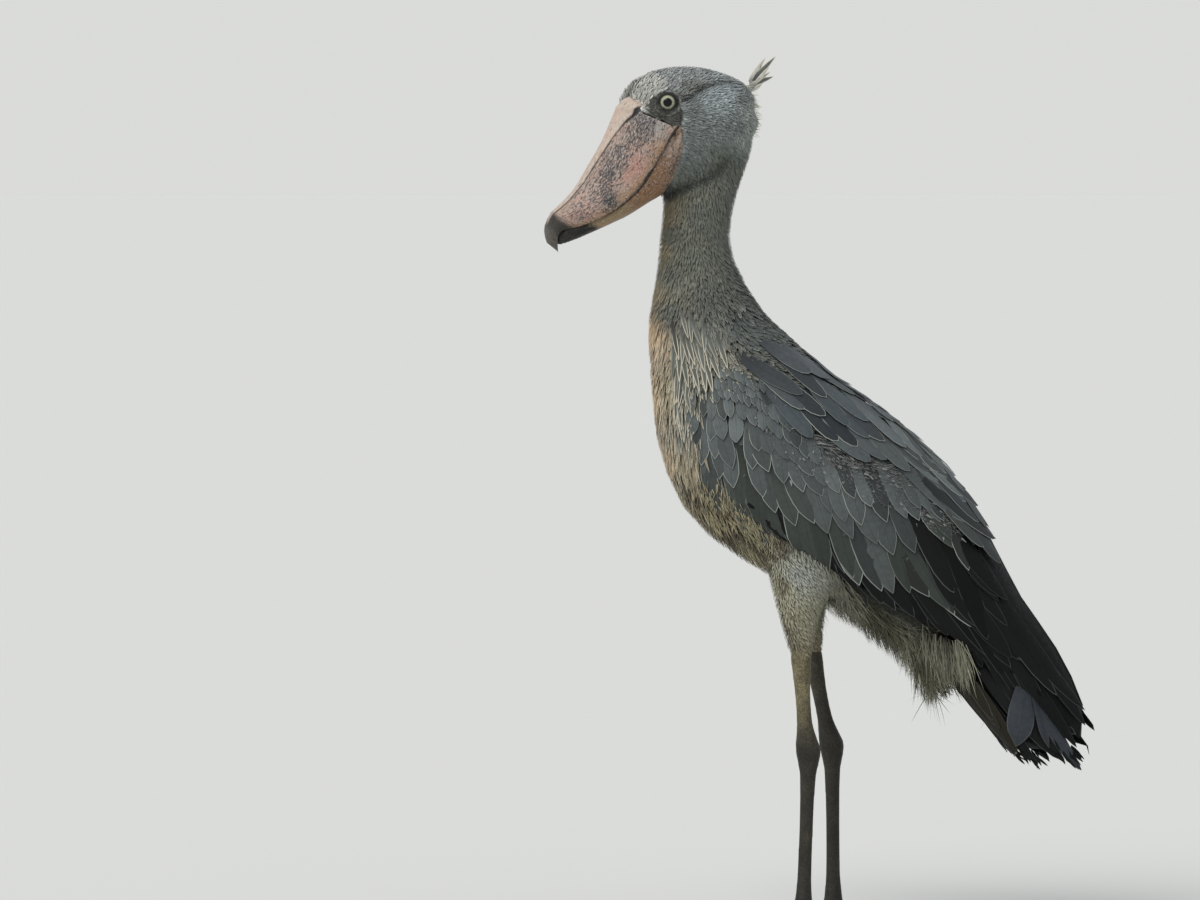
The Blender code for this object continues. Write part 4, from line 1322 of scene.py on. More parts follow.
def blend_band(low, high):
    """Which feathers of a scatter belong above a soft band of heights."""
    ragged = wobble(skin_points, 0.012, 6.0, 2) * 0.35 * (high - low)
    return smooth_step(low, high, skin_flat[:, 1] + ragged)


neck = region_share("neck", "trunk") * (1 - head_share_now)
high_neck = blend_band(0.76, 0.83)
coat = Coat()
fluff(coat, neck * high_neck, 2.05 * MM, 13, 11, 0.95, spread=0.13, lift=0.3, tone_change=0.07)
coat.piece("neck_feathers", down_material)


def fringe_at(points):
    """How strongly the small feathers' pale edges show."""
    spots = (
        (-130, 900, 0.0), (-183, 800, 0.25), (-150, 790, 0.12), (-77, 829, 0.05), (-191, 720, 0.65),
        (-160, 730, 1.0), (-145, 690, 1.1), (-182, 625, 0.70), (-150, 640, 0.9), (-164, 560, 0.40),
        (-120, 740, 0.75), (-100, 500, 0.10), (-51, 746, 0.15), (-90, 760, 0.25), (0, 701, 0.20),
        (90, 640, 0.2), (-26, 433, 0.1), (147, 356, 0.2), (-120, 690, 1.1),
    )
    return painted(side_view(points), [r[:2] for r in spots], [r[2:] for r in spots], 4.0)[:, 0]


def sized(spots, values):
    """A feather's size in millimetres, blended between spots of the side view."""
    return lambda points: painted(side_view(points), spots, [[v] for v in values], 4.0)[:, 0] * MM


BODY_SPOTS = (
    (-180, 800), (-120, 800), (-60, 800), (-190, 740), (-130, 740), (-70, 740), (-186, 660), (-140, 660),
    (-20, 740), (20, 690), (-180, 600), (-140, 540), (-80, 480), (-30, 440),
)
BODY_LENGTHS = (20, 16, 14, 36, 32, 24, 56, 50, 24, 26, 48, 38, 32, 28)
BODY_WIDTHS = (1.2, 1.2, 1.5, 1.6, 2.0, 2.6, 2.0, 2.5, 3.2, 3.6, 1.9, 2.0, 2.0, 2.0)
middle_neck = (1 - high_neck) * blend_band(0.70, 0.735)
coat = Coat()
fluff(coat, neck * middle_neck, 2.8 * MM, 14, sized(BODY_SPOTS, BODY_LENGTHS), sized(BODY_SPOTS, BODY_WIDTHS),
      "lance", fringe=fringe_at, spread=0.14, lift=0.5, tone_change=0.10, strong=0.6)
coat.piece("lower_neck_feathers", body_material)

low_trunk = region_share("trunk", "wing") * (1 - blend_band(0.70, 0.735))
CHEST_EDGE = ((0.50, 0.56, 0.66, 0.70, 0.74, 0.76), (-0.127, -0.147, -0.153, -0.136, -0.10, -0.06))
chest_edge = np.interp(skin_flat[:, 1], *CHEST_EDGE)
ahead = step_mm(8, -6, skin_flat[:, 0] - chest_edge)
belly_line = 0.555 - 0.25 * (skin_flat[:, 0] + 0.16) + 0.02 * wobble(skin_points, 0.03, 2.0, 2)
low = smooth_step(0.02, -0.02, skin_flat[:, 1] - belly_line)
coat = Coat()
fluff(coat, low_trunk * ahead * (1 - low), 3.7 * MM, 16, sized(BODY_SPOTS, BODY_LENGTHS),
      sized(BODY_SPOTS, BODY_WIDTHS), "lance", fringe=fringe_at, spread=0.09, lift=0.7, sway=0.05,
      tone_change=0.34, strong=0.65)
coat.piece("breast_feathers", body_material)
coat = Coat()
belly = region_share("trunk") * low * smooth_step(0.06, 0.02, skin_flat[:, 0])
fluff(coat, belly, 2.5 * MM, 17, 24, 1.0, spread=0.26, lift=0.9, sway=0.10, droop=0.03, tone_change=0.12)
coat.piece("belly_feathers", down_material)

# Grey feathers of the back and wings that the broad vanes only partly cover
coat = Coat()
wing_low_edge = np.interp(skin_flat[:, 0], (-0.11, 0.0, 0.10, 0.22), (0.60, 0.52, 0.47, 0.41)) + 0.03
upper_body = region_share("trunk", "wing") * (1 - blend_band(0.70, 0.735)) * (1 - ahead)
upper_body = upper_body * (skin_flat[:, 1] > wing_low_edge) * (skin_flat[:, 0] < 0.2)
fluff(coat, upper_body, 6.5 * MM, 15, 30, 5.6, "scale", spread=0.2, lift=-4.5, thick=0.15, colour="slate",
      shade=0.8)
mantle = region_share("neck", "trunk") * (1 - high_neck) * smooth_step(-0.085, -0.055, skin_flat[:, 0])
behind = smooth_step(-0.10, -0.09, skin_flat[:, 0] + 0.5 * (0.72 - skin_flat[:, 1]))
mantle *= behind * blend_band(0.655, 0.68)
fluff(coat, mantle, 6.2 * MM, 21, 30, 4.4, "lance", fringe=0.6, spread=0.22, thick=0.2, tone_change=0.22,
      strong=0.18)
coat.piece("mantle_feathers", wing_material)

RUFFLED_LINE = ((-48.6, 656), (-6, 610.6), (31, 595), (82, 573), (134, 553), (158, 541))
band_gap, band_share = path_distance(skin_flat, RUFFLED_LINE)
coat = Coat()
band_gap = band_gap - 5 * MM * smooth_step(0.2, 0.6, band_share)
band = region_share("wing") * step_mm(15, 7, band_gap)
fluff(coat, band, 2.2 * MM, 22, 17, 0.8, spread=0.36, lift=0.5, sway=0.14, tone_change=0.16, colour="mauve")
fluff(coat, band, 11 * MM, 23, 24, 2.0, "lance", fringe=0.5, spread=0.30, lift=0.8, thick=0.2, sway=0.12,
      colour="mauve")
coat.piece("ruffled_coverts", wing_material)

thighs = region_share("thigh")
coat = Coat()
fluff(coat, thighs * smooth_step(0.335, 0.36, skin_flat[:, 1]), 2.1 * MM, 18, 10, 1.0, spread=0.16)
coat.piece("thigh_feathers", down_material)

quill_low_edge = np.interp(skin_flat[:, 0], *QUILL_LOW_EDGE)
vent = region_share("undertail", "trunk") * (skin_flat[:, 1] < quill_low_edge)
vent = vent * smooth_step(0.0, 0.04, skin_flat[:, 0])
coat = Coat()
fluff(coat, vent, 2.7 * MM, 19, 46, 0.8, "plume", spread=0.34, lift=3.0, sway=0.2, droop=0.16,
      curl=0.05, tone_change=0.32, deepest=32, facing_least=-0.1)
# Loose tufts at its sides: the rounded end of the pale plumes, and thin ones that hang. Each: how many,
# the line of their roots from end to end, the line of their tips, half width, how far out, and colour.
TUFTS = (
    (360, (168, 354), (206, 340), (176, 316), (224, 294), 0.6, 5, "plume"),
    (160, (150, 362), (178, 350), (154, 320), (190, 304), 0.6, 3, "plume"),
    (34, (146, 352), (166, 346), (148, 292), (170, 270), 0.5, 4, "olive"),
)
for side, _ in SIDES:
    rng = np.random.default_rng(24 if side < 0 else 25)
    for number, from_low, from_high, to_low, to_high, half, out, colour in TUFTS:
        t = rng.random((number, 1))
        flat = np.array(from_low) * (1 - t) + np.array(from_high) * t + rng.normal(0, 6, (number, 2))
        ends = np.array(to_low) * (1 - t) + np.array(to_high) * t + rng.normal(0, 7, (number, 2))
        roots = plumage.from_side(flat * MM, side)
        outward = roots[:, 1] * 0.8 + side * rng.uniform(0, out, number) * MM
        tips = np.stack([ends[:, 0] * MM + ORIGIN_X, outward, ends[:, 1] * MM], axis=1)
        roots[:, 1] -= side * 2 * MM
        bow = rng.normal(0, 2, number), side * rng.uniform(2, 6, number), rng.normal(0, 2, number)
        bow = np.stack(bow, axis=1) * MM
        tone = np.array(PALETTE[colour]) * rng.uniform(0.4, 1.1, (number, 1)) * (0.75 + 0.75 * t ** 3)
        tone = np.concatenate([tone, 0 * tone[:, :1]], axis=1)
        stand(coat, roots, tips, bow, np.full(number, half * MM), "plume", tone, nearest_uv(roots))
coat.piece("vent_plumes", down_material)

# ---------------------------------------------------------------- wing feathers
# The folded wings' broad vanes, laid in rows like tiles from the flight feathers up to the small
# coverts of the shoulder, with the scapulars hanging over them from the back.
def row_places(line, count, rng):
    """Evenly spaced places along a row's line of tips, a little uneven."""
    line = np.array(line, float) * MM
    spans = np.concatenate([[0], np.cumsum(np.linalg.norm(np.diff(line, axis=0), axis=1))])
    share = (np.arange(count) + 0.5 + rng.uniform(-0.18, 0.18, count)) / count
    at = share * spans[-1]
    return np.stack([np.interp(at, spans, line[:, k]) for k in (0, 1)], axis=1), share


# Each row: the line of its tips (x, z in millimetres), how many, length and half width at its two ends,
# the way its first and last feathers point, its layer, and its colour.
WING_ROWS = (
    ("secondaries", ((-74, 512), (-15, 474), (42, 436), (82, 413), (114, 393), (160, 376), (196, 358),
     (229, 337), (246, 318)), 17, (120, 190), (15, 14), (0.42, -0.90), (0.60, -0.80), -4.5, "black", "quill"),
    ("primaries", ((237, 337), (269, 292), (307, 251), (343, 226), (362, 214), (378, 202)), 12, (190, 260),
     (13, 12), (0.60, -0.80), (0.62, -0.79), -3.6, "black", "quill"),
    ("upper_primaries", ((237, 407), (294, 328), (335, 279), (374, 236)), 8, (170, 230), (12, 12),
     (0.60, -0.80), (0.60, -0.80), -2.4, "black", "quill"),
    ("greater", ((-133, 558), (-100, 516), (-70, 500), (-40, 480), (-14, 464), (10, 456), (45, 446),
     (77, 430), (106, 421), (146, 421), (186, 405), (220, 369)), 19, (105, 130), (15.5, 16.5), (0.10, -1.0),
     (0.48, -0.88), -2.6, "slate_low", "covert"),
    ("median_low", ((-140, 582), (-92, 556), (-49, 535), (-8, 512), (32, 496), (61, 490), (84, 478),
     (116, 475), (141, 477), (166, 484), (198, 471), (237, 420)), 16, (85, 105), (13, 14), (0.08, -1.0),
     (0.50, -0.86), -1.6, "slate_low", "covert"),
    ("median_high", ((-143, 604), (-97, 586), (-51, 578), (-6, 550), (20, 545), (54, 517), (79, 515),
     (108, 509), (136, 515), (169, 509), (205, 484)), 16, (68, 88), (12, 13), (0.08, -1.0), (0.48, -0.88),
     -0.8, "slate", "covert"),
    ("lesser_low", ((-146, 624), (-100, 612), (-76, 612), (-49, 601), (-22, 596), (9, 574), (41, 550),
     (79, 535), (118, 527), (160, 525), (192, 507)), 18, (44, 60), (9, 10.5), (0.08, -1.0), (0.48, -0.88),
     -0.2, "slate", "covert"),
    ("lesser_high", ((-146, 648), (-112, 642), (-83, 643), (-59, 632), (-36, 622), (-10, 609), (23, 581)), 14,
     (34, 40), (6.5, 8), (0.10, -1.0), (0.25, -0.97), 0.4, "slate", "covert"),
    ("shoulder_low", ((-113, 664), (-95, 667), (-74, 661), (-54, 653), (-33, 640), (-10, 625)), 13, (27, 30),
     (4.8, 5.5), (0.10, -1.0), (0.30, -0.95), 0.9, "slate", "covert"),
    ("shoulder_middle", ((-110, 678), (-87, 677), (-64, 669), (-40, 658)), 9, (22, 26), (4.2, 4.8),
     (0.12, -1.0), (0.35, -0.95), 1.2, "slate", "covert"),
    ("shoulder_high", ((-108, 693), (-87, 691), (-64, 681), (-44, 671)), 8, (20, 22), (3.8, 4.2),
     (0.12, -1.0), (0.35, -0.95), 1.5, "slate", "covert"),
    ("tertials", ((179, 439), (218, 361), (240, 378), (262, 343), (284, 320)), 5, (150, 190), (17, 15),
     (0.40, -0.91), (0.58, -0.81), -1.2, "black", "quill"),
    ("rump", ((246, 436), (262, 408)), 3, (110, 120), (13, 13), (0.52, -0.85), (0.56, -0.83), -1.0, "black",
     "quill"),
    ("scapulars_low", ((4, 632), (36, 617), (67, 604), (95, 594), (115, 576), (160, 576), (192, 548),
     (224, 503)), 10, (95, 130), (12.5, 14), (0.66, -0.75), (0.68, -0.73), 1.4, "slate", "broad"),
    ("scapulars_middle", ((-6, 658), (32, 645), (70, 632), (109, 612), (147, 599), (186, 567), (218, 522),
     (243, 471)), 12, (95, 135), (12.5, 14), (0.72, -0.69), (0.66, -0.75), 2.2, "blue_slate", "broad"),
    ("scapulars_high", ((-13, 678), (28, 669), (72, 653), (115, 631), (160, 596), (198, 556), (233, 497),
     (260, 439)), 12, (90, 135), (12.5, 14), (0.78, -0.62), (0.62, -0.78), 3.0, "blue_slate", "broad"),
    ("back", ((0, 701), (41, 689), (84, 668), (128, 640), (173, 599), (211, 548), (246, 484)), 12, (70, 120),
     (14, 15), (0.82, -0.57), (0.60, -0.80), 3.6, "blue_slate", "broad"),
    ("ridge", ((10, 706), (60, 690), (110, 664), (165, 615), (215, 548), (258, 474)), 12, (80, 120), (15, 15),
     (0.84, -0.54), (0.58, -0.81), 1.2, "blue_slate", "broad"),
)
DARK_SHARE = 0.10
DARK_SCAPULARS = 0.2
# The coverts' colour on the side view: (x, z) in millimetres
WING_MARKS = (
    (-106, 657, "shoulder"), (-85, 635, "shoulder"), (-48, 567, "slate"), (-90, 590, "slate"),
    (-19, 497, "slate_low"), (-60, 535, "slate_low"), (40, 470, "slate_low"), (96, 470, "slate"),
    (60, 520, "slate"), (120, 500, "slate"), (140, 440, "slate_low"), (210, 400, "black"),
    (230, 440, "slate_low"), (190, 490, "slate_low"), (70, 564, "shoulder"), (58, 637, "scapular"),
    (20, 650, "scapular"), (100, 640, "blue_slate"), (128, 605, "shoulder"), (182, 577, "shoulder"),
    (10, 690, "blue_slate"), (215, 540, "blue_slate"), (245, 480, "slate"), (270, 430, "slate_low"),
)
STRONG_FRINGES = {
    "back": 0.15, "ridge": 0.05, "scapulars_high": 0.3, "scapulars_middle": 0.35, "primaries": 0.1,
    "lesser_high": 0.6, "greater": 0.5, "median_low": 0.5, "shoulder_low": 0.75, "shoulder_middle": 0.75,
    "shoulder_high": 0.7, "chest_lances": 0.8,
}
QUILL_ROWS = ("secondaries", "primaries", "upper_primaries", "tertials", "rump")
ROOT_DROP = 3.0 * MM
TILE_TILT = 0.9 * MM


def atlas(count):
    """A square sheet's cells, one for each vane."""
    across = math.ceil(math.sqrt(count))
    cell = 1 / across
    order = np.arange(count)
    return np.stack([(order % across) * cell, (order // across) * cell, np.full(count, cell)], axis=1)


def lay_row(coat, row, side, rng, cells, surface=plumage, rim=0.1):
    """One row of vanes on one side, each a little unlike the next."""
    name, line, count, lengths, widths, way_start, way_end, layer, colour, outline = row
    flat, share = row_places(line, count, rng)
    flat += rng.normal(0, 0.045 * lengths[0] * MM, flat.shape)
    tips = surface.from_side(flat, side)
    ways = np.outer(1 - share, way_start) + np.outer(share, way_end)
    angle = np.arctan2(ways[:, 1], ways[:, 0]) + rng.normal(0, 0.08, count)
    ways = np.stack([np.cos(angle), np.zeros(count), np.sin(angle)], axis=1)
    length = (lengths[0] + (lengths[1] - lengths[0]) * share) * rng.uniform(0.94, 1.06, count) * MM
    width = (widths[0] + (widths[1] - widths[0]) * share) * rng.uniform(0.92, 1.08, count) * MM
    dark = rng.random((count, 1)) < (DARK_SCAPULARS if name.startswith("scapulars") else DARK_SHARE)
    middle = flat - ways[:, [0, 2]] * lengths[0] * 0.3 * MM
    spots = [mark[:2] for mark in WING_MARKS], [PALETTE[mark[2]] for mark in WING_MARKS]
    marked = outline in ("covert", "broad") and colour != "bloom"
    tone = painted(middle, *spots) if marked else np.array(PALETTE[colour])
    tone = tone * (1 + rng.normal(0, 0.13, (count, 1))).clip(0.65, 1.4) * np.where(dark, 0.5, 1)
    strong = rng.random(count) < STRONG_FRINGES.get(name, 0.35)
    fringe = np.where(strong, rng.uniform(0.7, 1.0, count), rng.uniform(0.15, 0.55, count))
    tone = np.concatenate([tone, fringe[:, None]], axis=1)
    lift = np.full(count, layer * MM) + rng.normal(0, 0.3 * MM, count)
    tilt = np.full(count, TILE_TILT * side)
    grow(coat, tips, ways, length, width, outline, "vane", tone, cells, ROOT_DROP - lift, lift, rng,
         sway=0.03, thick=0.4, cup=0.04, tilt=tilt, from_tips=side, surface=surface, rim=rim)


for side, word in SIDES:
    rng = np.random.default_rng(40 if side < 0 else 41)
    for kind, material, slot, replaced in (
        ("flight", quill_material, "dark_plumage", (f"wing_quills_{word}",)),
        ("covert", wing_material, "grey_plumage", ()),
    ):
        rows = [row for row in WING_ROWS if (row[0] in QUILL_ROWS) == (kind == "flight")]
        cells = atlas(sum(row[2] for row in rows))
        coat = Coat()
        if kind == "flight":
            coat.core(f"wing_quills_{word}", 7 * MM, 0.95, "black")
        used = 0
        for row in rows:
            lay_row(coat, row, side, rng, cells[used:used + row[2]], wing_surface)
            used += row[2]
        coat.piece(f"wing_{kind}s_{word}", material, replaced)


# Long grey lances with cream edges hang from the base of the neck over the breast and the wing's front
CHEST_ROWS = (
    (((-162, 690), (-150, 684), (-128, 676), (-108, 672)), 7, (56, 60), (3.4, 3.8),
     (0.04, -1.0), (0.30, -0.95), 2.0, "grey_breast"),
    (((-164, 662), (-152, 654), (-136, 650)), 5, (58, 62), (3.4, 3.6), (0.02, -1.0),
     (0.16, -1.0), 1.6, "grey_breast"),
    (((-160, 634), (-150, 622)), 3, (58, 62), (3.4, 3.6), (0.02, -1.0), (0.08, -1.0), 1.3,
     "grey_breast"),
    (((-160, 718), (-142, 710), (-122, 700), (-102, 694)), 8, (50, 54), (3.2, 3.6),
     (0.06, -1.0), (0.34, -0.94), 2.4, "grey_breast"),
    (((-150, 742), (-130, 730), (-110, 716), (-88, 706)), 7, (44, 46), (2.8, 3.4),
     (0.10, -1.0), (0.45, -0.90), 2.6, "dusk"),
)
coat = Coat()
for side, _ in SIDES:
    rng = np.random.default_rng(44 if side < 0 else 45)
    for row in CHEST_ROWS:
        row = ("chest_lances", *row, "lance")
        places = plumage.from_side(row_places(row[1], row[2], np.random.default_rng(1))[0], side)
        cells = np.concatenate([nearest_uv(places), np.full((row[2], 1), PATCH)], axis=1)
        lay_row(coat, row, side, rng, cells, rim=0.42)
coat.piece("chest_lances", body_material)

# ---------------------------------------------------------------- tail
# Twelve stiff rectrices, the outer ones bloomed blue-grey, with soft brown coverts under their roots.
TAIL_ROWS = (
    ("rectrices", ((236, 243), (258, 216), (275, 199), (300, 190), (322, 192), (352, 200)), 6, (150, 165),
     (12, 13), (0.60, -0.80), (0.66, -0.75), -1.6, "black", "quill"),
    ("bloomed_short", ((276, 225), (280, 223)), 1, (86, 86), (19, 19), (0.02, -1.0), (0.02, -1.0), 2.8,
     "bloom", "covert"),
    ("bloomed_middle", ((316, 226), (320, 224)), 1, (80, 80), (6, 6), (0.26, -0.97), (0.26, -0.97), 2.6,
     "bloom", "covert"),
    ("bloomed_long", ((351, 193), (357, 189)), 1, (115, 115), (16, 16), (0.48, -0.88), (0.48, -0.88), 2.4,
     "bloom", "covert"),
    ("undertail_long", ((238, 262), (254, 238), (266, 223), (277, 214), (288, 208)), 8, (90, 115), (8, 9),
     (0.62, -0.78), (0.62, -0.78), 1.8, "earth", "quill"),
    ("undertail_edge", ((264, 218), (276, 210)), 2, (60, 66), (5, 5), (0.60, -0.80), (0.62, -0.78), 2.4,
     "black", "quill"),
)
tail_form = shell_of("tail_form", ["tail"], VOXEL)
tail_surface = Surface(tail_form, smoothed(tail_form.data, 10))
coat = Coat()
coat.core("tail", 6 * MM, 0.92, "black")
tail_cells = atlas(2 * sum(row[2] for row in TAIL_ROWS))
used = 0
for side, _ in SIDES:
    rng = np.random.default_rng(60 if side < 0 else 61)
    for row in TAIL_ROWS:
        lay_row(coat, row, side, rng, tail_cells[used:used + row[2]], tail_surface)
        used += row[2]
FRAYED_TIPS = ((291, 202), (312, 198), (324, 214), (338, 199), (356, 198), (366, 207))
FRAYS = 4
for side, _ in SIDES:
    rng = np.random.default_rng(64 if side < 0 else 65)
    flat = np.repeat(np.array(FRAYED_TIPS, float), FRAYS, axis=0)
    count = len(flat)
    turn = math.atan2(-0.77, 0.64) + rng.normal(0, 0.16, count)
    way = np.stack([np.cos(turn), np.sin(turn)], axis=1)
    across = np.stack([-way[:, 1], way[:, 0]], axis=1) * rng.normal(0, 4.5, (count, 1))
    roots = tail_surface.from_side((flat + across - way * 18) * MM, side)
    way = np.stack([way[:, 0], np.zeros(count), way[:, 1]], axis=1)
    tips = roots + way * rng.uniform(14, 22, (count, 1)) * MM
    tips[:, 1] += side * rng.uniform(-1, 1.5, count) * MM
    tone = np.tile((*PALETTE["black"], 0.0), (count, 1))
    stand(coat, roots, tips, np.zeros((count, 3)), np.full(count, 1.7 * MM), "lance", tone,
          np.tile((0.5, 0.5, 0.004), (count, 1)))
coat.piece("tail_feathers", quill_material, ("tail",))

# ---------------------------------------------------------------- bill
# Two horn sheaths over bone. The upper one has a raised ridge plate between two grooves and ends
# in a hooked nail; both are streaked and blotched with slate on pinkish tan.
BILL_VOXEL = 1.0 * MM
BILL_BASE_MIDDLE = np.array((-207, 1025)) * MM
BILL_AXIS = np.array((-0.625, -0.781))
BILL_UP = np.array((-0.781, 0.625))
BILL_LENGTH = 190 * MM
HORN = {
    "pink": (0.370, 0.275, 0.225),
    "tan": (0.300, 0.190, 0.100),
    "cream": (0.480, 0.400, 0.335),
    "rose": (0.375, 0.205, 0.168),
    "slate": (0.075, 0.075, 0.082),
    "ash": (0.300, 0.300, 0.285),
    "lip": (0.310, 0.235, 0.190),
    "nail": (0.030, 0.027, 0.019),
    "ochre": (0.235, 0.128, 0.060),
    "straw": (0.270, 0.200, 0.105),
    "dusk": (0.006, 0.007, 0.005),
    # painted shade for the grooves, the mouth line and the overlap of the sheaths
    "groove": (0.014, 0.011, 0.010),
}


def blob(along, high, at_along, at_high, wide, tall):
    return np.exp(-(((along - at_along) / wide) ** 2) - ((high - at_high) / tall) ** 2)


def blend_to(tone, colour, share):
    return blended(tone, HORN[colour], share)


def bill_half(node, name, extra=()):
    """A remeshed half of the bill, with each vertex's place along it (0 to 1), up it (0 to 1) and across."""
    made = shell_of(name, [node], BILL_VOXEL, extra)
    points = coordinates(made.data) - vertex_normals(made.data) * SEAL
    head = to_head(points)
    off = head[:, [0, 2]] - BILL_BASE_MIDDLE
    along = off @ BILL_AXIS / BILL_LENGTH
    up = off @ BILL_UP
    bins = np.clip(((along + 0.2) * 50).astype(int), 0, 79)
    low, high = np.full(80, 1.0), np.full(80, -1.0)
    np.minimum.at(low, bins, up)
    np.maximum.at(high, bins, up)
    rise = (up - low[bins]) / np.maximum(high[bins] - low[bins], 1 * MM)
    return made, points, head, along, rise


def store_horn(sheath, tone, speckle, along, rise, height, head):
    """A sheath's tones, how speckled they are, and its grain's own coordinates in millimetres."""
    store(sheath.data, "tone", np.concatenate([tone, speckle.clip(0, 1)[:, None]], axis=1))
    lines = np.stack([along * BILL_LENGTH, rise * height, head[:, 1]], axis=1) / MM
    store(sheath.data, "grain", lines, "FLOAT_VECTOR", "vector")


def on_cheek(points, share):
    """Points of a sheath's rear edge lifted onto the plumage, by a share."""
    outer, facing = plumage.at(points)
    under = ((outer - points) * facing).sum(axis=1)
    return points + facing * (np.maximum(under + 0.8 * MM, 0) * share * (under < 9 * MM))[:, None]


def make_horn_material():
    material, tree, shader = new_material("bill_horn", 0.4)
    tone = attribute(tree, "tone")
    lines = attribute(tree, "grain").outputs["Vector"]
    fine_marks = grain(tree, scaled(tree, lines, (0.40, 1.0, 1.0)), 1.4, 2.0, 0.6)
    coarse_marks = grain(tree, scaled(tree, lines, (0.45, 1.0, 1.0)), 3.0, 3.0, 0.65)
    patches = grain(tree, scaled(tree, lines, (0.7, 1.0, 1.0)), 10.0, 2.0, 0.5)
    marks = calc(tree, "MULTIPLY_ADD", coarse_marks, 0.38, times(tree, fine_marks, 0.50))
    marks = calc(tree, "MULTIPLY_ADD", patches, 0.12, marks)
    limit = calc(tree, "MULTIPLY_ADD", tone.outputs["Alpha"], -0.30, 0.610)
    dark = ramp(tree, calc(tree, "SUBTRACT", marks, limit), -0.03, 0.045)
    flecks = grain(tree, scaled(tree, lines, (0.34, 1.0, 1.0)), 1.2, 2.0, 0.55)
    pale = ramp(tree, flecks, 0.53, 0.62)
    smudge = ramp(tree, coarse_marks, 0.40, 0.62)
    smudge = times(tree, smudge, tone.outputs["Alpha"])
    colour = mixed(tree, smudge, tone.outputs["Color"], (0.11, 0.10, 0.11))
    colour = mixed(tree, times(tree, dark, 0.86), colour, (0.020, 0.021, 0.026))
    palest = mixed(tree, 0.6, tone.outputs["Color"], (0.74, 0.68, 0.60))
    pale = times(tree, pale, ramp(tree, tone.outputs["Color"], 0.01, 0.12, 0.06, 0.55))
    colour = mixed(tree, pale, colour, palest)
    warm = ramp(tree, grain(tree, lines, 14.0, 2.0), 0.4, 0.65)
    warm = times(tree, warm, 0.4)
    warmer = mixed(tree, 1.0, colour, (1.15, 0.90, 0.84), "MULTIPLY")
    colour = mixed(tree, warm, colour, warmer)
    tree.links.new(colour, shader.inputs["Base Color"])
    feed(tree, shader.inputs["Roughness"], ramp(tree, fine_marks, 0.3, 0.7, 0.42, 0.60))
    height = calc(tree, "ADD", times(tree, flecks, 0.6), times(tree, coarse_marks, 0.6))
    bumped(tree, shader, height, 0.5, 0.0006)
    return material


horn_material = make_horn_material()
horn_material.node_tree.nodes["Principled BSDF"].inputs["Specular IOR Level"].default_value = 0.3
upper_bill, points, head, along, rise = bill_half("bill_upper", "upper_sheath", [bill_tongue()])
side = np.abs(head[:, 1])
PLATE = (
    (-0.10, 38), (0.006, 34.6), (0.07, 31.8), (0.126, 27.4), (0.187, 22.6), (0.246, 18.0), (0.33, 15.0),
    (0.407, 13.6), (0.47, 12.8), (0.554, 11.8), (0.613, 10.8), (0.692, 9.5), (0.774, 9.0), (0.84, 8.8),
    (1.0, 5),
)
plate = section(along, PLATE)
plate += 0.7 * MM * wobble(points, 0.02, 8.0, 2)
on_top = smooth_step(0.30, 0.45, rise)
groove = bell(side - plate, 1.1 * MM) * on_top * smooth_step(0.98, 0.9, along)
slit = bell(side - plate - 0.8 * MM, 1.5 * MM) * on_top
slit = slit * smooth_step(0.15, 0.10, along) * smooth_step(0.0, 0.03, along)
cut_edge_shade = smooth_step(0.10, 0.0, rise) * smooth_step(1.0, 0.8, along)
wave = wobble(points, 0.016, 2.0, 2)
rib = np.sin(rise * 42 + wobble(points, 0.02, 3.0) * 1.5) * smooth_step(0.25, 0.0, along) * (side > plate)
inward = 1.5 * groove + 1.4 * slit - 0.25 * wave * (1 - groove) + 0.12 * rib
points = points - vertex_normals(upper_bill.data) * (inward * MM)[:, None]
# Its rear lower corner runs back in a point between the bare face and the gape
CORNER = np.array((-180, 1006)) * MM
MOUTH = ((-174, 1015), (-181, 1005), (-188, 993), (-195, 978), (-202, 966), (-214, 954), (-221, 944))
pull = bell(np.linalg.norm(head[:, [0, 2]] - CORNER, axis=1), 7 * MM) * (side > 30 * MM)
points = from_head(to_head(points) + pull[:, None] * np.array((4.0, 0, 6.0)) * MM)
points = on_cheek(points, pull * (side > 44 * MM))
set_coordinates(upper_bill.data, points)
tone = np.tile(HORN["pink"], (len(points), 1))
patch = wobble(points, 0.012, 5.0, 3)
tone = blend_to(tone, "tan", smooth_step(0.34, 0.08, rise + 0.05 * patch) * 0.85)
slate = 0.95 * blob(along, rise, 0.10, 0.60, 0.10, 0.24) + 0.75 * blob(along, rise, 0.42, 0.72, 0.16, 0.20)
slanted = along + 0.15 * (rise - 0.35)
slate += 1.25 * blob(slanted, rise, 0.62, 0.35, 0.065, 0.26) + 0.3 * blob(along, rise, 0.24, 0.5, 0.10, 0.3)
slate += 0.2 * patch
tone = blend_to(tone, "ash", smooth_step(0.17, 0.03, along) * smooth_step(0.0, 0.30, rise) * 0.9)
tone = blend_to(tone, "lip", smooth_step(0.10, 0.0, along) * smooth_step(0.35, 0.10, rise) * 0.9)
tone = blend_to(tone, "slate", slate * 0.40)
rosy = 0.85 * blob(along, rise, 0.36, 0.34, 0.12, 0.20) + 0.6 * blob(along, rise, 0.79, 0.45, 0.09, 0.3)
tone = blend_to(tone, "rose", rosy)
speckle = 0.20 + 0.36 * slate + 0.16 * blob(along, rise, 0.5, 0.7, 0.3, 0.25)
speckle = speckle - 0.08 * smooth_step(0.3, 0.1, rise)
speckle += 0.16 * blob(along, rise, 0.80, 0.5, 0.10, 0.4) - 0.10 * blob(along, rise, 0.36, 0.34, 0.12, 0.22)
on_plate = step_mm(0.5, -0.8, side - plate) * on_top
on_plate = np.maximum(on_plate, smooth_step(0.06, 0.0, along) * (rise > 0.6) * (side < 22 * MM))
tone = blend_to(tone, "cream", on_plate)
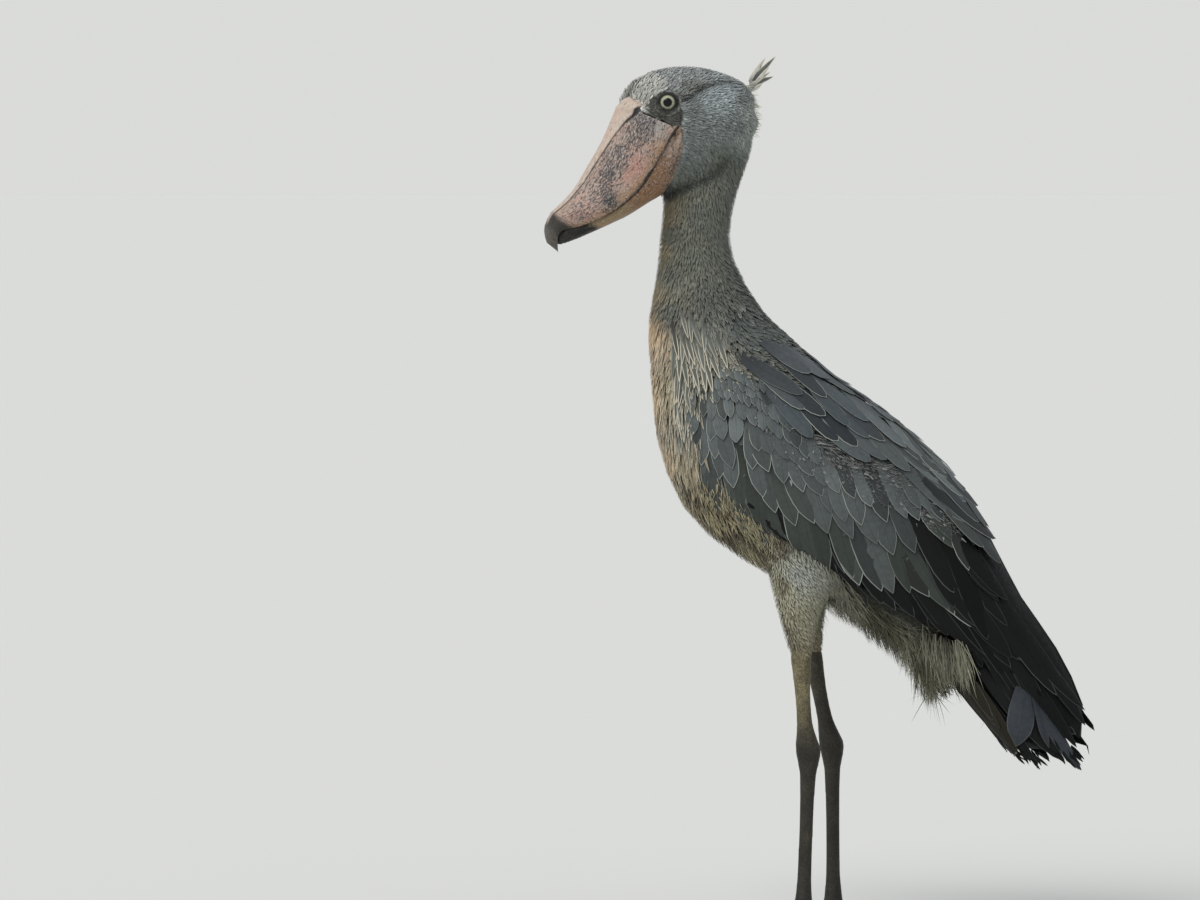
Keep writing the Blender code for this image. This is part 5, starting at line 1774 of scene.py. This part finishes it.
speckle = speckle * (1 - on_plate) + 0.12 * on_plate
nail = smooth_step(0.87, 0.94, along + 0.02 * patch)
tone = blend_to(tone, "nail", nail)
tone = blend_to(tone, "dusk", 0.8 * blob(along, side / (9 * MM), 0.92, 1.2, 0.035, 0.7) * nail)
ridge = 0.75 * step_mm(6.5, 3.5, side) * nail * smooth_step(1.0, 0.93, along)
tone = blend_to(tone, "cream", ridge)
tone = blend_to(tone, "ash", 0.2 * smooth_step(0.96, 1.04, along) * nail)
speckle = speckle * (1 - nail) + 0.22 * nail
# Painted shade: near black in the grooves and slits, along the lower cutting edge and along the mouth line.
tone = blend_to(tone, "groove", np.clip(1.6 * groove + 1.2 * slit, 0, 1) * 0.97)
tone = blend_to(tone, "groove", 0.85 * cut_edge_shade)
mouth_gap, _ = path_distance(to_head(points)[:, [0, 2]], MOUTH)
tone = blend_to(tone, "groove", 0.9 * step_mm(2.4, 0.9, mouth_gap) * (side > 30 * MM))
store_horn(upper_bill, tone, speckle, along, rise, 0.06, head)

lower_bill, points, head, along, rise = bill_half("bill_lower", "lower_sheath")
# Its tip fills the hook, and its rear edge is a soft flap that laps onto the cheek
forward = smooth_step(0.72, 0.97, along) * 10 * MM
mouth_gap, _ = path_distance(head[:, [0, 2]], MOUTH)
rear = step_mm(-206, -182, head[:, 0])
flap = rear * step_mm(0.5, 6, mouth_gap)
tuck = rear * step_mm(7, 2, mouth_gap) * MM
thicker = 5 * MM * rise * smooth_step(0.66, 0.9, along)
shift = 7 * MM * flap - 0.93 * forward - 2.2 * tuck, 0 * forward, 1.6 * tuck - 0.22 * forward + thicker
points = on_cheek(from_head(head + np.stack(shift, axis=1)), flap * (np.abs(head[:, 1]) > 15 * MM))
set_coordinates(lower_bill.data, points)
tone = np.tile(HORN["ochre"], (len(points), 1))
patch = wobble(points, 0.012, 9.0, 3)
tone = blend_to(tone, "lip", smooth_step(0.30, 0.05, along + 0.06 * patch) * 0.9)
tone = blend_to(tone, "slate", 0.7 * smooth_step(0.40, 0.0, rise) * smooth_step(0.5, 0.1, along))
tone = blend_to(tone, "straw", smooth_step(0.50, 0.62, along + 0.05 * patch) * 0.9)
tone = blend_to(tone, "dusk", smooth_step(0.77, 0.83, along + 0.03 * patch))
# Painted shade along its top edge under the upper sheath, and along the mouth line at its rear.
tone = blend_to(tone, "groove", 0.9 * smooth_step(0.92, 0.99, rise))
tone = blend_to(tone, "groove", 0.9 * step_mm(2.2, 0.8, mouth_gap) * rear)
speckle = 0.14 + 0.30 * smooth_step(0.40, 0.0, rise) * smooth_step(0.5, 0.1, along) + 0.12 * patch
store_horn(lower_bill, tone, speckle, along, rise, 0.03, head)
for sheath, node in ((upper_bill, "bill_upper"), (lower_bill, "bill_lower")):
    sheath.data.materials.append(horn_material)
    sheath.data.shade_smooth()
    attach(sheath, "root")
    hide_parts(node)

# ---------------------------------------------------------------- eyes
# Wet pale globes with a round black pupil, deep between the lids.
PUPIL_RADIUS = 5.5 * MM


def make_eye_material():
    material, tree, shader = new_material("wet_eye", 0.08)
    polar = attribute(tree, "polar")
    ring = add_node(tree, "ShaderNodeSeparateXYZ")
    tree.links.new(polar.outputs["Vector"], ring.inputs[0])
    radius = ring.outputs[0]
    threads = grain(tree, scaled(tree, polar.outputs["Vector"], (0.12, 3.0, 1.0)), 1.0, 3.0, 0.6)
    iris = mixed(tree, ramp(tree, threads, 0.35, 0.7), (0.27, 0.28, 0.195), (0.44, 0.455, 0.335))
    iris = mixed(tree, ramp(tree, radius, 7.9, 9.4), iris, (0.06, 0.065, 0.042))
    inner = ramp(tree, radius, PUPIL_RADIUS / MM - 0.25, PUPIL_RADIUS / MM + 0.3)
    colour = mixed(tree, inner, (0.004, 0.004, 0.004), iris)
    white = ramp(tree, radius, IRIS_RADIUS / MM - 0.2, IRIS_RADIUS / MM + 0.5)
    colour = mixed(tree, white, colour, (0.03, 0.03, 0.028))
    tree.links.new(colour, shader.inputs["Base Color"])
    shader.inputs["Specular IOR Level"].default_value = 0.15
    shader.inputs["Coat Weight"].default_value = 0.18
    shader.inputs["Coat Roughness"].default_value = 0.08
    return material


eye_material = make_eye_material()
for side, word in SIDES:
    deselect()
    bpy.ops.mesh.primitive_uv_sphere_add(segments=64, ring_count=40, radius=EYE_RADIUS)
    eye = bpy.context.object
    eye.name = eye.data.name = f"eyeball_{word}"
    centre, axis = eye_frame(side)
    globe = coordinates(eye.data)
    turned = np.array([tuple(Vector(axis).to_track_quat("Z", "Y") @ Vector(p)) for p in globe.tolist()])
    out = np.linalg.norm(globe[:, :2], axis=1) / MM
    around = np.arctan2(globe[:, 1], globe[:, 0])
    bulge = 1 + 0.05 * smooth_step(0.75, 1.0, globe[:, 2] / EYE_RADIUS)
    set_coordinates(eye.data, turned * bulge[:, None] + centre)
    out = np.where(globe[:, 2] > 0, out, 20.0)
    polar = np.stack([out, np.cos(around) * 3, np.sin(around) * 3], axis=1)
    store(eye.data, "polar", polar, "FLOAT_VECTOR", "vector")
    eye.data.materials.append(eye_material)
    eye.data.shade_smooth()
    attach(eye, "root")
    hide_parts(f"eye_{word}")

# ---------------------------------------------------------------- crest
# Loose pointed feathers at the nape, pale with dark tips, and a few wisps below them.
CREST = (
    (-27, 1103, 4.4, "shade"), (-39, 1101, 4.0, "crest"), (-29, 1077, 4.0, "shade"),
    (-33, 1097, 3.0, "crest"), (-34, 1083, 2.8, "crest"), (-45, 1087, 6.0, "crest"),
    (-43, 1080, 6.0, "crest"), (-41, 1073, 4.5, "crest"), (-47, 1093, 4.5, "crest"),
    (-46, 1068, 3.8, "crest"), (-36, 1090, 3.2, "crest"),
)
CREST_ROOT = np.array((-61, 0, 1064)) * MM
rng = np.random.default_rng(70)
count = len(CREST)
tips = np.array([(x, 0, z) for x, z, _, _ in CREST]) * MM + rng.normal(0, 1, (count, 3)) * (0, 2.5 * MM, 0)
roots = CREST_ROOT + rng.normal(0, 1, (count, 3)) * (1.0 * MM, 2.0 * MM, 2.0 * MM)
roots[:, 2] += 0.16 * (tips[:, 2] - 1085 * MM)
bow = rng.normal(0, 1, (count, 3)) * (1.0 * MM, 0.6 * MM, 0.6 * MM) + np.array((-0.6, 0, -1.0)) * MM
tone = np.array([(*PALETTE[name], 0.9) for *_, name in CREST])
coat = Coat()
widths = np.array([w for _, _, w, _ in CREST]) * MM * 0.8
stand(coat, from_head(roots), from_head(tips), turn_from_head(bow), widths, "lance", tone,
      np.tile((0.5, 0.5), (count, 1)), 0.25, 0.35)
wisps = 170
height = rng.uniform(1004, 1066, wisps)
nape_line = np.interp(height, (1000, 1012, 1034, 1050, 1068), (-61, -62, -64, -65, -74))
start = np.stack([nape_line, rng.normal(0, 8, wisps), height], axis=1)
reach = np.stack([rng.uniform(7, 17, wisps), rng.normal(0, 4, wisps), rng.uniform(-14, 2, wisps)], axis=1)
reach *= np.interp(height, (1004, 1020, 1066), (0.6, 1, 1))[:, None]
oaty = rng.random((wisps, 1)) < 0.35
shade = np.where(oaty, np.array(PALETTE["oat"]) * 2, np.array(PALETTE["nape"]) * 2) * (1, 1, 0.9)
stand(coat, from_head(start * MM), from_head((start + reach) * MM), np.zeros((wisps, 3)),
      np.full(wisps, 0.36 * MM), "hair", np.concatenate([shade, np.zeros((wisps, 1))], axis=1),
      np.tile((0.2, 0.2), (wisps, 1)))
coat.piece("crest_feathers", body_material, ("crest",))

# ---------------------------------------------------------------- claws
# Slightly hooked nails of dark polished horn.
claw_nodes = [f"claw_{toe}_{word}" for toe in ("inner", "middle", "outer", "hind") for word in BOTH]
claws = shell_of("toe_claws", claw_nodes, 0.8 * MM)
set_coordinates(claws.data, coordinates(claws.data) - vertex_normals(claws.data) * SEAL)
claw_material, tree, shader = new_material("claw_horn", 0.32)
streaks = grain(tree, scaled(tree, object_place(tree), (1.0, 1.0, 3.0)), 0.003, 3.0)
colour = mixed(tree, ramp(tree, streaks, 0.35, 0.7), (0.016, 0.015, 0.014), (0.055, 0.048, 0.040))
tree.links.new(colour, shader.inputs["Base Color"])
bumped(tree, shader, streaks, 0.3, 0.0003)
claws.data.materials.append(claw_material)
claws.data.shade_smooth()
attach(claws, "root")
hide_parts(*claw_nodes)
